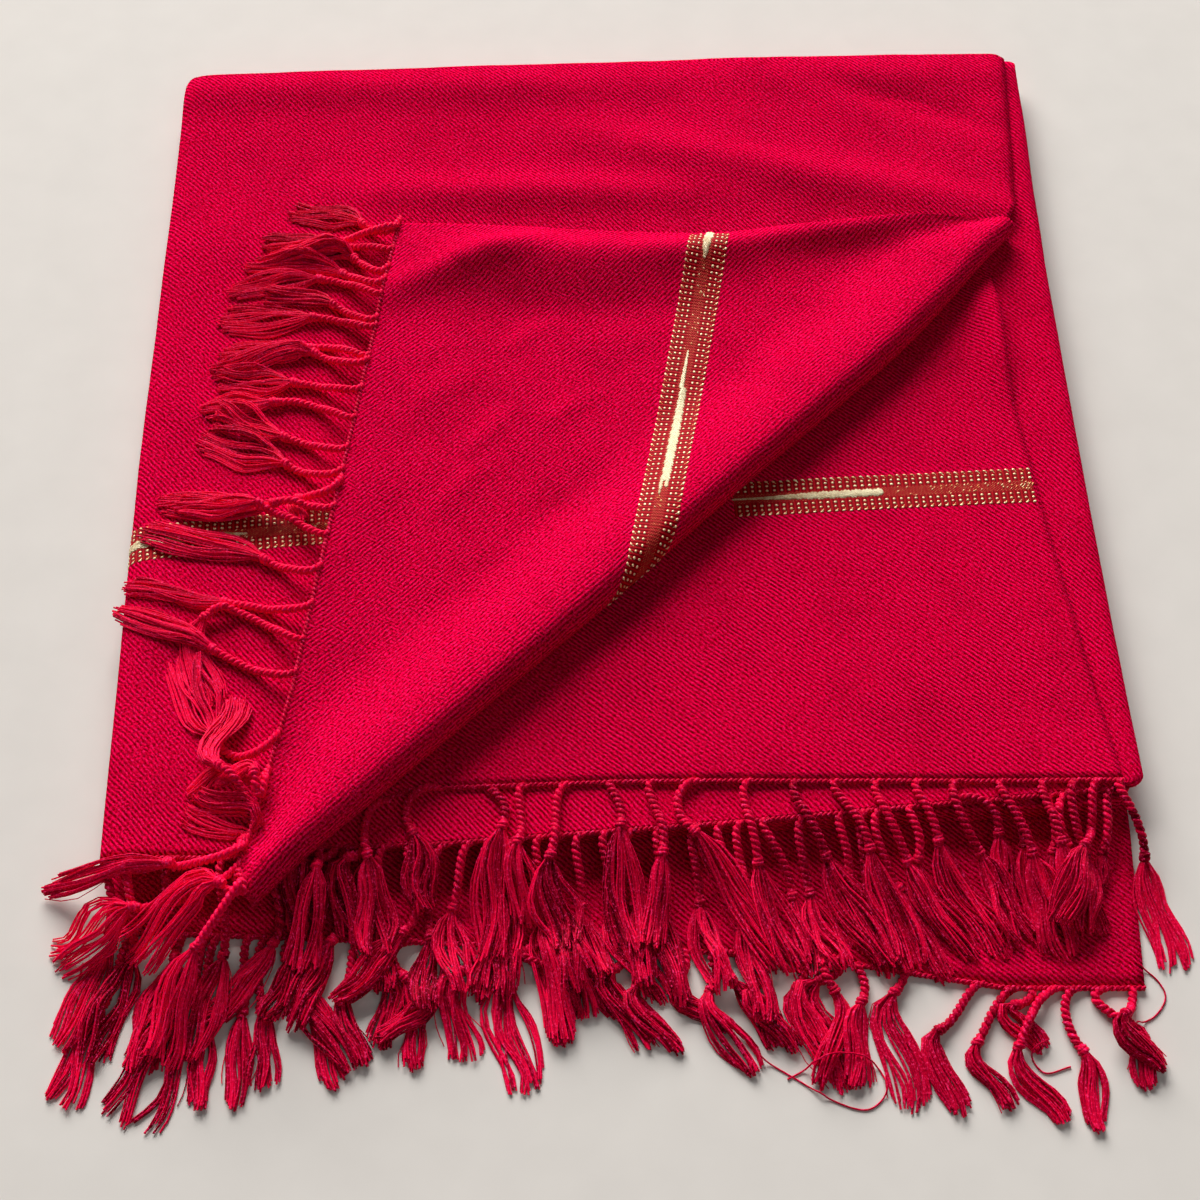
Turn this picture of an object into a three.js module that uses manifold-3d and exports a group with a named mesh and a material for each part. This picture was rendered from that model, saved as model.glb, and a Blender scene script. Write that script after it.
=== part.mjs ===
// A woollen shawl, 1 m wide and 2 m long, folded to a square of about half a metre and laid flat.
// The near corner of its top layer is turned back over a soft diagonal roll, so the reverse shows,
// and the knotted fringes of its layers lie one above the other at the front.
//
// Millimetres. +X runs from the folded left side to the open right side, +Y from the fringes to the
// rear fold, +Z up. The plan below is measured from the middle of the folded square, and the whole
// is centred over the origin at the end, with its underside at z = 0.
import Module from "manifold-3d";
import * as THREE from "three";
import { mergeVertices } from "three/addons/utils/BufferGeometryUtils.js";

// ---- driving sizes ----
const cloth = 1.8; // twill with its nap
const seamGap = 0.3; // between pieces that meet
const pileGap = 0.6; // between the hidden layers and the first sheet on them
const restGap = 1.2; // air under the turned corner
const hemRadius = 0.9; // twisted edge that holds the fringe
const fringeThick = 2.6; // cords and tassels side by side
const crown = { rise: 2, reachX: 256, reachY: 264 }; // the pile is thicker in its middle
const pile = { lobes: 3, lobeHeight: 3.85, groove: 2.2 }; // hidden layers, seen as folds at the edges
const stripe = { // woven border: its middle on the top layer, on the second layer and on the turned corner
  y: -105, secondY: -74, turnedX0: 58, turnedY0: 110, turnedX1: 16, turnedY1: -150, width: 22, thick: 0.5,
};
const settle = { least: 16, most: 62 }; // the turned cloth comes down from its roll over this distance
const cornerRadius = 10;

// ---- heights of the undersides, one layer on the other ----
const pileBase = cloth + seamGap;
const pileTop = pileBase + pile.lobes * pile.lobeHeight;
const thirdLevel = pileTop + pileGap;
const secondLevel = thirdLevel + cloth + seamGap;
const topLevel = secondLevel + cloth + seamGap;
const turnedLevel = topLevel + cloth + restGap;

// ---- the diagonal roll, from its loose end at the fringe to its tight end at the selvedge ----
// Each row is a section: the foremost point of the roll, its radius, how far it sinks over the front
// of the pile, the point of the cloth's edge that lies over it, and how far that edge is lifted.
const roll = [
  { x: -163, y: -309, radius: 8.0, sink: 7.0, edgeX: -172, edgeY: -300, lift: 0 },
  { x: -146, y: -293, radius: 9.0, sink: 2.6, edgeX: -167, edgeY: -278, lift: 0 },
  { x: -127, y: -275, radius: 9.4, sink: 0.2, edgeX: -161, edgeY: -245, lift: 0 },
  { x: -100, y: -249, radius: 9.5, sink: 0.0, edgeX: -153, edgeY: -200, lift: 0 },
  { x: -6, y: -156, radius: 9.0, sink: 0.0, edgeX: -133, edgeY: -35, lift: 0 },
  { x: 67, y: -80, radius: 8.5, sink: 0.0, edgeX: -117, edgeY: 103, lift: 1 },
  { x: 155, y: 10, radius: 7.0, sink: 0.0, edgeX: 56, edgeY: 96, lift: 0 },
  { x: 208, y: 78, radius: 4.5, sink: 0.0, edgeX: 172, edgeY: 105, lift: 4 },
  { x: 226, y: 101, radius: 3.0, sink: 0.0, edgeX: 217, edgeY: 106, lift: 0 },
];
const cornerRow = 5; // the row whose edge point is the turned corner itself; those before are fringed

// ---- outlines of the layers in plan: left and right by y, rear and hem by x ----
const topPlan = {
  left: [{ y: 232, x: -251 }, { y: -60, x: -247 }, { y: -285, x: -239 }],
  right: [{ y: 245, x: 236 }, { y: 158, x: 232 }, { y: 120, x: 229 }],
  rear: [{ x: -251, y: 232 }, { x: -60, y: 240 }, { x: 60, y: 247 }, { x: 236, y: 252 }],
  hem: [{ x: -239, y: -285 }, { x: -150, y: -285 }],
  rows: { rear: 245, hem: -285 },
};
const secondPlan = {
  left: [{ y: 236, x: -241 }, { y: -250, x: -232 }],
  right: [{ y: 236, x: 204 }, { y: 86, x: 210 }, { y: -15, x: 214 }, { y: -105, x: 224 }, { y: -244, x: 242 }],
  rear: [{ x: -241, y: 223 }, { x: 204, y: 240 }],
  hem: [
    { x: -232, y: -272 }, { x: -123, y: -260 }, { x: -95, y: -248 }, { x: 0, y: -244 }, { x: 242, y: -243 },
  ],
  rows: { rear: 236, hem: -250 },
};
const thirdPlan = {
  left: [{ y: 236, x: -243 }, { y: -260, x: -235 }],
  right: [{ y: 236, x: 243 }, { y: 86, x: 243 }, { y: -105, x: 248.5 }, { y: -260, x: 254 }],
  rear: [{ x: -243, y: 225 }, { x: 242, y: 245 }],
  hem: [{ x: -235, y: -279 }, { x: -85, y: -276 }, { x: 70, y: -263 }, { x: 213, y: -249 }, { x: 254, y: -244 }],
  rows: { rear: 236, hem: -260 },
};
const bottomPlan = {
  left: [{ y: 236, x: -240 }, { y: -330, x: -235 }],
  right: [{ y: 236, x: 236 }, { y: -250, x: 247 }, { y: -330, x: 243 }],
  rear: [{ x: -240, y: 224 }, { x: 236, y: 241 }],
  hem: [
    { x: -235, y: -314 }, { x: -100, y: -319 }, { x: 41, y: -324 },
    { x: 109, y: -330 }, { x: 180, y: -342 }, { x: 243, y: -342 },
  ],
  rows: { rear: 236, hem: -330 },
};
const pilePlan = [ // corners, with the radius of each
  { x: -235.5, y: -283, radius: 9 }, { x: 250, y: -254, radius: 18 },
  { x: 235.5, y: 247, radius: 9 }, { x: -247, y: 229, radius: 9 },
];

// How a sheet bends down over the side of the pile: distance in from the outline, and drop.
const foldOver = [
  { inset: 0.6, drop: 8.5 }, { inset: 0, drop: 5 }, { inset: 1, drop: 2.4 },
  { inset: 3.2, drop: 0.7 }, { inset: 7, drop: 0 },
];
const sideOver = [{ inset: 0, drop: 4.2 }, { inset: 0.9, drop: 1.7 }, { inset: 3, drop: 0.4 }, { inset: 8, drop: 0 }];

// Soft ridges: a line on the cloth, how wide and how high.
const topRidges = [
  { x0: 232, y0: 112, x1: 150, y1: 178, width: 15, height: 4.5 },
  { x0: 214, y0: 192, x1: 90, y1: 205, width: 20, height: 2 },
  { x0: -90, y0: 150, x1: 40, y1: 190, width: 30, height: 1.6 },
];
const turnedRidges = [
  { x0: -110, y0: 68, x1: 70, y1: 88, width: 11, height: 3.4 },
  { x0: -95, y0: -20, x1: -40, y1: 30, width: 16, height: 1.8 },
  { x0: 70, y0: 56, x1: 190, y1: 90, width: 10, height: 2.4 },
];

// ---- fringes ----
// How the underside of each falls with the distance beyond the front of the pile.
const thirdFall = [
  { out: -3, low: 14.3 }, { out: 3, low: 12.8 }, { out: 7, low: 9.2 }, { out: 14, low: 5.2 },
  { out: 26, low: 2.6 }, { out: 34, low: 3.2 }, { out: 42, low: 4.8 }, { out: 54, low: 5.4 },
];
const secondFall = [
  { out: -3, low: 17.4 }, { out: 3, low: 17.2 }, { out: 6, low: 15.6 }, { out: 10, low: 12.6 },
  { out: 17, low: 8.9 }, { out: 26, low: 6.4 }, { out: 34, low: 6.6 }, { out: 42, low: 8.2 }, { out: 54, low: 8.8 },
];
const topFall = [
  { out: 0, low: 18.2 }, { out: 5, low: 16.6 }, { out: 13, low: 11.6 }, { out: 24, low: 7.6 }, { out: 40, low: 5.6 },
];
// How far the tassels reach from the hem, left end first.
const bottomReach = [{ x: -232, dx: -18, dy: -78 }, { x: 0, dx: -4, dy: -62 }, { x: 241, dx: 12, dy: -56 }];
const thirdReach = [{ x: -120, dx: -14, dy: -84 }, { x: 60, dx: 0, dy: -86 }, { x: 232, dx: 10, dy: -76 }];
const secondReach = [{ x: -90, dx: -10, dy: -56 }, { x: 60, dx: -6, dy: -108 }, { x: 239, dx: 12, dy: -80 }];
const topReach = [{ x: -229, dx: -26, dy: -78 }, { x: -182, dx: -22, dy: -96 }];
const turnedReach = [ // by the place along the turned edge, from the corner to the loose end
  { along: 0, dx: -42, dy: 24 }, { along: 0.15, dx: -80, dy: 12 }, { along: 0.4, dx: -78, dy: 4 },
  { along: 0.62, dx: -86, dy: 2 }, { along: 0.8, dx: -68, dy: -12 }, { along: 0.92, dx: -76, dy: -26 },
  { along: 1, dx: -64, dy: -52 },
];

// ---- colours ----
const shades = { cloth: [0xb80434, 0.86], cord: [0xc00f3a, 0.74], woven: [0xd9a860, 0.62] };

// ---- small maths ----
const mix = (a, b, t) => a + (b - a) * t;
const clamp = (value, low, high) => Math.min(Math.max(value, low), high);
const steps = (n, from = 0, to = 1) => Array.from({ length: n + 1 }, (_, k) => mix(from, to, k / n));
const rise = (x, y) =>
  crown.rise * Math.max(0, 1 - (x / crown.reachX) ** 4) * Math.max(0, 1 - (y / crown.reachY) ** 4);

// A column of a table, read at a value of another column.
function readOff(table, from, to, value) {
  for (let k = 0; ; k++) {
    const [a, b] = [table[k], table[k + 1]];
    const f = (value - a[from]) / (b[from] - a[from]);
    if (f <= 1 || k === table.length - 2) return mix(a[to], b[to], f);
  }
}

// All columns of a table at a place counted in rows. The section curves smoothly through the rows,
// and the cloth's edge runs straight from row to row, round its square corner.
function rowAt(table, place) {
  const k = clamp(Math.floor(place), 0, table.length - 2);
  const f = place - k;
  const made = {};
  for (const key of Object.keys(table[0])) {
    const [b, c] = [table[k][key], table[k + 1][key]];
    const a = k > 0 ? table[k - 1][key] : 2 * b - c;
    const d = k + 2 < table.length ? table[k + 2][key] : 2 * c - b;
    const curved =
      0.5 * (2 * b + (c - a) * f + (2 * a - 5 * b + 4 * c - d) * f * f + (3 * b - a - 3 * c + d) * f ** 3);
    made[key] = key.startsWith("edge") ? mix(b, c, f) : curved;
  }
  return made;
}

function ridgeHeight(ridges, x, y) {
  let sum = 0;
  for (const r of ridges) {
    const [dx, dy] = [r.x1 - r.x0, r.y1 - r.y0];
    const along = ((x - r.x0) * dx + (y - r.y0) * dy) / (dx * dx + dy * dy);
    const off = ((x - r.x0) * dy - (y - r.y0) * dx) / Math.hypot(dx, dy) / r.width;
    sum += r.height * Math.sin(Math.PI * clamp(along, 0, 1)) * Math.exp(-off * off);
  }
  return sum;
}

// ---- meshes ----
const wasm = await Module();
wasm.setup();
const shawl = new THREE.Group();

function addNode(name, geometry, shade) {
  const [color, roughness] = shades[shade];
  const mesh = new THREE.Mesh(geometry, new THREE.MeshStandardMaterial({ color, roughness, metalness: 0 }));
  mesh.name = name;
  shawl.add(mesh);
}

function indexed(points, faces) {
  const geometry = new THREE.BufferGeometry();
  geometry.setAttribute("position", new THREE.Float32BufferAttribute(points.flat(), 3));
  geometry.setIndex(faces);
  return geometry;
}

// A closed wall between two grids of points. Rows run to the front and columns to the right, so the
// first grid is the upper face.
function wallBetween(upper, lower) {
  const [rows, columns] = [upper.length, upper[0].length];
  const at = (i, j, side) => side * rows * columns + i * columns + j;
  const faces = [];
  const quad = (a, b, c, d) => faces.push(a, b, c, a, c, d);
  for (let i = 0; i < rows - 1; i++) {
    for (let j = 0; j < columns - 1; j++) {
      quad(at(i, j, 0), at(i + 1, j, 0), at(i + 1, j + 1, 0), at(i, j + 1, 0));
      quad(at(i, j, 1), at(i, j + 1, 1), at(i + 1, j + 1, 1), at(i + 1, j, 1));
    }
    quad(at(i, 0, 0), at(i, 0, 1), at(i + 1, 0, 1), at(i + 1, 0, 0));
    quad(at(i, columns - 1, 0), at(i + 1, columns - 1, 0), at(i + 1, columns - 1, 1), at(i, columns - 1, 1));
  }
  for (let j = 0; j < columns - 1; j++) {
    quad(at(0, j, 0), at(0, j + 1, 0), at(0, j + 1, 1), at(0, j, 1));
    quad(at(rows - 1, j, 0), at(rows - 1, j, 1), at(rows - 1, j + 1, 1), at(rows - 1, j + 1, 0));
  }
  return indexed([...upper.flat(), ...lower.flat()], faces);
}

const lowered = (grid, distance) => grid.map((row) => row.map(([x, y, z]) => [x, y, z - distance]));

// A grid moved in against its own normals, which gives a wall its second face.
function movedIn(grid, distance) {
  const at = (i, j) => {
    const row = grid[clamp(i, 0, grid.length - 1)];
    return new THREE.Vector3(...row[clamp(j, 0, row.length - 1)]);
  };
  return grid.map((row, i) =>
    row.map((point, j) => {
      const normal = at(i + 1, j).sub(at(i - 1, j)).cross(at(i, j + 1).sub(at(i, j - 1))).normalize();
      return new THREE.Vector3(...point).addScaledVector(normal, -distance).toArray();
    }));
}

// A thin plate on a panel, made from the panel's points.
const plateOn = (grid, thick) => wallBetween(movedIn(grid, -seamGap - thick), movedIn(grid, -seamGap));

// The twisted edge of a panel: a tube along the middle of its wall, moved out of its last row.
function hemAlong(outer, inner, out) {
  const path = outer.map((point, k) => {
    const middle = new THREE.Vector3(...point).lerp(new THREE.Vector3(...inner[k]), 0.5);
    return middle.addScaledVector(out, seamGap + hemRadius);
  });
  const section = new THREE.Shape();
  for (let side = 0; side < 6; side++) {
    const angle = (Math.PI / 3) * side;
    section[side ? "lineTo" : "moveTo"](hemRadius * Math.cos(angle), hemRadius * Math.sin(angle));
  }
  return new THREE.ExtrudeGeometry(section, {
    steps: path.length - 1, extrudePath: new THREE.CatmullRomCurve3(path, false, "catmullrom", 0), bevelEnabled: false,
  });
}
const frontward = new THREE.Vector3(0, -1, 0);

// ---- a sheet laid on the pile ----
// A point of a sheet: u across, y along, and how far in from the folded edges it is.
function planPoint(plan, u, y, leftIn = 0, rightIn = 0) {
  const x = mix(readOff(plan.left, "y", "x", y) + leftIn, readOff(plan.right, "y", "x", y) - rightIn, u);
  const toRear = clamp((y - 110) / (plan.rows.rear - 110), 0, 1.1);
  const toHem = clamp((y + 150) / (plan.rows.hem + 150), 0, 1.1);
  return [
    x,
    y + (readOff(plan.rear, "x", "y", x) - plan.rows.rear) * toRear
      + (readOff(plan.hem, "x", "y", x) - plan.rows.hem) * toHem,
  ];
}

function flatSheet(plan, level, rows, columns) {
  return steps(rows, plan.rows.rear, plan.rows.hem).map((y) =>
    steps(columns).map((u) => {
      const [x, py] = planPoint(plan, u, y);
      return [x, py, level + cloth + rise(x, py)];
    }));
}

// ---- hidden layers: rings from the flat underside, over the folded edges, to the middle ----
function pileGeometry() {
  const sideSteps = 7;
  const arcSteps = 3;
  const corners = pilePlan.map((c) => new THREE.Vector2(c.x, c.y));

  function ringPlan(inset) {
    const ring = [];
    corners.forEach((corner, k) => {
      const radius = pilePlan[k].radius - inset * 0.6;
      const before = corners[(k + 3) % 4].clone().sub(corner).normalize();
      const after = corners[(k + 1) % 4].clone().sub(corner).normalize();
      const centre = corner.clone().addScaledVector(before, inset + radius).addScaledVector(after, inset + radius);
      for (const f of steps(arcSteps)) {
        const angle = (Math.PI / 2) * f;
        ring.push(centre.clone().addScaledVector(after, -radius * Math.cos(angle))
          .addScaledVector(before, -radius * Math.sin(angle)));
      }
    });
    return ring.flatMap((point, k) => {
      if (k % (arcSteps + 1) !== arcSteps) return [point];
      const next = ring[(k + 1) % ring.length];
      return steps(sideSteps).slice(0, -1).map((f) => point.clone().lerp(next, f));
    });
  }

  const rings = [];
  const addRing = (inset, z, scale = 1, crowned = false) =>
    rings.push(ringPlan(inset).map((p) => {
      const [x, y] = [p.x * scale, p.y * scale];
      return [x, y, z + (crowned ? rise(x, y) : 0)];
    }));
  addRing(6, pileBase);
  for (let lobe = 0; lobe < pile.lobes; lobe++) {
    const low = pileBase + lobe * pile.lobeHeight;
    addRing(lobe ? pile.groove : 2, low + (lobe ? 0 : 0.25));
    addRing(0.2, low + 0.3 * pile.lobeHeight);
    addRing(0, low + 0.68 * pile.lobeHeight);
  }
  addRing(2.4, pileTop - 0.3);
  addRing(7, pileTop, 1, true);
  for (const scale of [0.82, 0.6, 0.34]) addRing(7, pileTop, scale, true);

  const count = rings[0].length;
  const points = rings.flat();
  const bottom = points.push([0, 0, pileBase]) - 1;
  const middle = points.push([0, 0, pileTop + crown.rise]) - 1;
  const last = (rings.length - 1) * count;
  const faces = [];
  for (let k = 0; k < count; k++) {
    const next = (k + 1) % count;
    faces.push(bottom, next, k, last + k, last + next, middle);
    for (let a = 0; a < last; a += count) {
      faces.push(a + k, a + next, a + count + next, a + k, a + count + next, a + count + k);
    }
  }
  return indexed(points, faces);
}

// ---- the turned corner ----
const lastRow = roll.length - 1;
const rollSteps = 3 * lastRow;

// A section of the roll at t, from 0 at the fringe to 1 at the selvedge.
function rollSection(t) {
  const row = rowAt(roll, t * lastRow);
  const [before, after] = [rowAt(roll, t * lastRow - 0.02), rowAt(roll, t * lastRow + 0.02)];
  const inward = new THREE.Vector2(before.y - after.y, after.x - before.x).normalize();
  return { ...row, inward, base: topLevel + rise(row.x, row.y) - row.sink };
}

// A point of the cloth's outer face: c from 0 to 1 goes up round the roll, and from 1 to 2 on to the edge.
function turnedPoint(t, c) {
  const { x, y, radius, base, inward, edgeX, edgeY, lift } = rollSection(t);
  const round = Math.PI * Math.min(c, 1);
  const inset = radius * (1 - Math.sin(round));
  const top = [x + inward.x * inset, y + inward.y * inset];
  if (c <= 1) return [...top, base + radius * (1 - Math.cos(round))];
  const k = c - 1;
  const [px, py] = [mix(top[0], edgeX, k), mix(top[1], edgeY, k)];
  const span = Math.hypot(edgeX - top[0], edgeY - top[1]);
  const down = (1 + Math.cos(Math.PI * clamp((k * span) / clamp(span, settle.least, settle.most), 0, 1))) / 2;
  const laid = turnedLevel + cloth + rise(px, py) + lift * k ** 3 + ridgeHeight(turnedRidges, px, py);
  return [px, py, mix(laid, base + 2 * radius, down)];
}

// ---- the pieces ----
const bottomOuter = flatSheet(bottomPlan, 0, 9, 10).map((row) => row.map(([x, y]) => [x, y, cloth]));
const bottomInner = lowered(bottomOuter, cloth);
addNode("bottom_layer", wallBetween(bottomOuter, bottomInner), "cloth");
addNode("hem_bottom", hemAlong(bottomOuter.at(-1), bottomInner.at(-1), frontward), "cord");

addNode("lower_stack", pileGeometry(), "cloth");

const thirdColumns = [...steps(7).map((u) => ({ u: u * 0.985, inset: 0, drop: 0 })).slice(0, -1),
  ...sideOver.toReversed().map((s) => ({ u: 1, ...s }))];
const thirdOuter = steps(10, thirdPlan.rows.rear, thirdPlan.rows.hem).map((row) =>
  thirdColumns.map(({ u, inset, drop }) => {
    const [x, y] = planPoint(thirdPlan, u, row, 0, inset);
    return [x, y, thirdLevel + cloth + rise(x, y) - drop];
  }));
const thirdInner = movedIn(thirdOuter, cloth);
addNode("third_layer", wallBetween(thirdOuter, thirdInner), "cloth");
const flatPart = (row) => row.slice(0, 1 - sideOver.length);
addNode("hem_third", hemAlong(flatPart(thirdOuter.at(-1)), flatPart(thirdInner.at(-1)), frontward), "cord");

const secondOuter = flatSheet(secondPlan, secondLevel, 11, 11);
const secondInner = lowered(secondOuter, cloth);
addNode("second_layer", wallBetween(secondOuter, secondInner), "cloth");
addNode("hem_second", hemAlong(secondOuter.at(-1), secondInner.at(-1), frontward), "cord");

// The top layer ends at the foot of the roll. Its rear and left edges bend down over the pile.
const rollFoot = steps(rollSteps).map((t) => {
  const { x, y, radius, inward } = rollSection(t);
  const inset = radius + seamGap + 0.15;
  return { x: x + inward.x * inset, y: y + inward.y * inset };
}).toReversed();
const topRight = [...topPlan.right, ...rollFoot];
const roundCorner = (a, b) => a * Math.sqrt(1 - (b * b) / (2 * cornerRadius ** 2));

function topPoint(u, row, side, rear) {
  const plan = { ...topPlan, right: topRight };
  let [x, y] = planPoint(plan, u, row, side.inset, 0);
  y -= rear.inset;
  const fromRear = cornerRadius - (readOff(topPlan.rear, "x", "y", x) - y);
  const fromLeft = cornerRadius - (x - readOff(topPlan.left, "y", "x", y));
  const fromRight = cornerRadius - (readOff(topRight, "y", "x", y) - x);
  if (fromRear > 0 && fromLeft > 0) {
    x += fromLeft - roundCorner(fromLeft, fromRear);
    y -= fromRear - roundCorner(fromRear, fromLeft);
  } else if (fromRear > 0 && fromRight > 0) {
    x -= fromRight - roundCorner(fromRight, fromRear);
    y -= fromRear - roundCorner(fromRear, fromRight);
  }
  const drop = Math.min(Math.hypot(side.drop, rear.drop), foldOver[0].drop);
  return [x, y, topLevel + cloth + rise(x, y) + ridgeHeight(topRidges, x, y) - drop];
}
const level = { inset: 0, drop: 0 };
const topColumns = [...foldOver.map((side) => ({ u: 0, side })),
  ...[0.06, 0.16, 0.28, 0.4, 0.52, 0.64, 0.74, 0.83, 0.9, 0.96, 1].map((u) => ({ u, side: level }))];
const topRows = [...foldOver.map((rear) => ({ row: topPlan.rows.rear, rear })),
  ...[220, 200, 180, 160, 142, 124, ...rollFoot.filter(({ y }, k) => k % 2 === 0 && y > -275).map(({ y }) => y),
    topPlan.rows.hem].map((row) => ({ row, rear: level }))];
const topOuter = topRows.map(({ row, rear }) =>
  topColumns.map(({ u, side }) => topPoint(u, row, side, rear)));
const topInner = movedIn(topOuter, cloth);
addNode("top_layer", wallBetween(topOuter, topInner), "cloth");
addNode("hem_top", hemAlong(topOuter.at(-1), topInner.at(-1), frontward), "cord");

const turnedColumns = [...steps(8), ...steps(9, 1, 2).slice(1)];
const turnedOuter = steps(rollSteps).map((t) => turnedColumns.map((c) => turnedPoint(1 - t, c)).toReversed());
const turnedInner = movedIn(turnedOuter, cloth).map((row, i) => {
  const [x, y, z] = turnedOuter[i].at(-1); // the foot of the roll, flat like the top layer beside it
  return [...row.slice(0, -1), [x, y, z + cloth]];
});
addNode("turned_corner", wallBetween(turnedOuter, turnedInner), "cloth");


// ---- the woven border, a thin plate wherever it shows ----
function solidOf(geometry) {
  const bare = geometry.clone();
  for (const name of ["normal", "uv"]) bare.deleteAttribute(name);
  const merged = mergeVertices(bare);
  return new wasm.Manifold(new wasm.Mesh({
    numProp: 3, vertProperties: merged.attributes.position.array, triVerts: Uint32Array.from(merged.index.array),
  }));
}

// The part of a plate on a panel that lies within corners given in plan.
function bandOn(grid, corners) {
  const plan = new THREE.Shape(corners.map(([x, y]) => new THREE.Vector2(x, y)));
  const prism = new THREE.ExtrudeGeometry(plan, { depth: 4 * topLevel, bevelEnabled: false });
  const { vertProperties, triVerts } = solidOf(plateOn(grid, stripe.thick)).intersect(solidOf(prism)).getMesh();
  const geometry = new THREE.BufferGeometry();
  geometry.setAttribute("position", new THREE.BufferAttribute(vertProperties, 3));
  return geometry.setIndex([...triVerts]);
}

const half = stripe.width / 2;
const [rear, front] = [stripe.y + half, stripe.y - half];
const borderEnd = (y) => readOff(topRight, "y", "x", y) - 1;
addNode("stripe_top", bandOn(topOuter, [
  [-300, front], [borderEnd(front), front], [borderEnd(rear), rear], [-300, rear],
]), "woven");

const foldFront = steps(rollSteps).map((t) => rollSection(t));
const secondBand = [stripe.secondY + half, stripe.secondY - half].map((y) => [
  [readOff(foldFront, "y", "x", y) + 1, y], [readOff(secondPlan.right, "y", "x", y) - 0.5, y],
]);
addNode("stripe_second", bandOn(secondOuter, [...secondBand[0], ...secondBand[1].toReversed()]), "woven");

// On the turned corner the border runs from the selvedge down over the roll.
const run = new THREE.Vector2(stripe.turnedX1 - stripe.turnedX0, stripe.turnedY1 - stripe.turnedY0);
const aside = new THREE.Vector2(-run.y, run.x).setLength(half);
const turnedUpper = turnedOuter.slice(3, 16).map((row) => row.slice(0, -5));
addNode("stripe_turned", bandOn(turnedUpper, [[-1, 0], [1, 0], [1, 1], [-1, 1]].map(([side, along]) => [
  stripe.turnedX0 + run.x * along + aside.x * side, stripe.turnedY0 + run.y * along + aside.y * side,
])), "woven");

// ---- fringes, each a plain slab of its reach ----
const hemRoom = 2 * (seamGap + hemRadius) + 0.5; // the twisted hem lies between a panel and its fringe
const farOut = 200;
const pileFront = (x) => mix(pilePlan[0].y, pilePlan[1].y, (x - pilePlan[0].x) / (pilePlan[1].x - pilePlan[0].x));

// The root line of a fringe in front of a panel's last row, and the reach of its tassels from there.
function fringeRoots(lastRow, reach, columns) {
  const hem = lastRow.map(([x, y]) => ({ x, y }));
  return steps(columns, reach[0].x, reach.at(-1).x).map((x) => ({
    x, y: readOff(hem, "x", "y", x) - hemRoom, dx: readOff(reach, "x", "dx", x), dy: readOff(reach, "x", "dy", x),
  }));
}

// A fringe that hangs over the front: a row for each row of its table of heights, then the tips.
function hangingFringe(roots, falls, front) {
  const first = falls[0].out;
  const low = (out) => readOff([...falls, { ...falls.at(-1), out: farOut }], "out", "low", Math.max(out, first));
  const columns = roots.map(({ x, y, dx, dy }) => {
    let at = y;
    return [null, ...falls.map(({ out }) => out), farOut].map((out) => {
      if (out !== null) at = Math.max(y + dy, Math.min(at - 0.6, front(x) - out));
      const px = x + (dx * (at - y)) / dy;
      return [px, at, low(front(x) - at) + fringeThick];
    });
  });
  const upper = columns[0].map((_, row) => columns.map((column) => column[row]));
  return wallBetween(upper, lowered(upper, fringeThick));
}

const onTable = [0, 0.3, 0.7, 1].map((f) =>
  fringeRoots(bottomOuter.at(-1), bottomReach, 12).map(({ x, y, dx, dy }) => [x + dx * f, y + dy * f, fringeThick]));
addNode("fringe_bottom", wallBetween(onTable, lowered(onTable, fringeThick)), "cord");
addNode("fringe_third", hangingFringe(fringeRoots(thirdOuter.at(-1), thirdReach, 12), thirdFall, pileFront), "cord");
addNode("fringe_second", hangingFringe(fringeRoots(secondOuter.at(-1), secondReach, 12), secondFall, pileFront), "cord");
addNode("fringe_top",
  hangingFringe(fringeRoots(topOuter.at(-1), topReach, 3), topFall, () => topPlan.rows.hem), "cord");

const edgeOuter = turnedOuter.slice(rollSteps * (1 - cornerRow / lastRow)).map((row) => row[0]);
const edgeInner = turnedInner.slice(rollSteps * (1 - cornerRow / lastRow)).map((row) => row[0]);
const leftward = new THREE.Vector3(
  edgeOuter.at(-1)[1] - edgeOuter[0][1], edgeOuter[0][0] - edgeOuter.at(-1)[0], 0).normalize();
addNode("hem_turned", hemAlong(edgeOuter, edgeInner, leftward), "cord");

// The turned fringe comes down from its edge, lies on the top layer and hangs over its hem.
const turnedRows = [0, 0.08, 0.17, 0.27, 0.38, 0.5, 0.66, 0.83, 1].map((f) =>
  edgeOuter.map(([x, y], k) => {
    const along = k / (edgeOuter.length - 1);
    const px = x + leftward.x * hemRoom + readOff(turnedReach, "along", "dx", along) * f;
    const py = y + leftward.y * hemRoom + readOff(turnedReach, "along", "dy", along) * f;
    const beyond = readOff([...topFall, { ...topFall.at(-1), out: farOut }], "out", "low", topPlan.rows.hem - py - 8);
    const rest = Math.min(turnedLevel + rise(px, py), beyond + fringeThick + 0.7);
    const down = (1 + Math.cos(Math.PI * clamp(f / 0.5, 0, 1))) / 2;
    return [px, py, mix(rest, Math.max(rest, edgeInner[k][2]), down) + fringeThick];
  }));
addNode("fringe_turned", wallBetween(turnedRows, lowered(turnedRows, fringeThick)), "cord");

// ---- stand it over the origin ----
const box = new THREE.Box3().setFromObject(shawl);
const middle = box.getCenter(new THREE.Vector3());
shawl.position.set(-middle.x, -middle.y, -box.min.z);

export default shawl;
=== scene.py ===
import math
import bpy
import bmesh
import numpy as np
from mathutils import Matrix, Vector, kdtree


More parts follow.
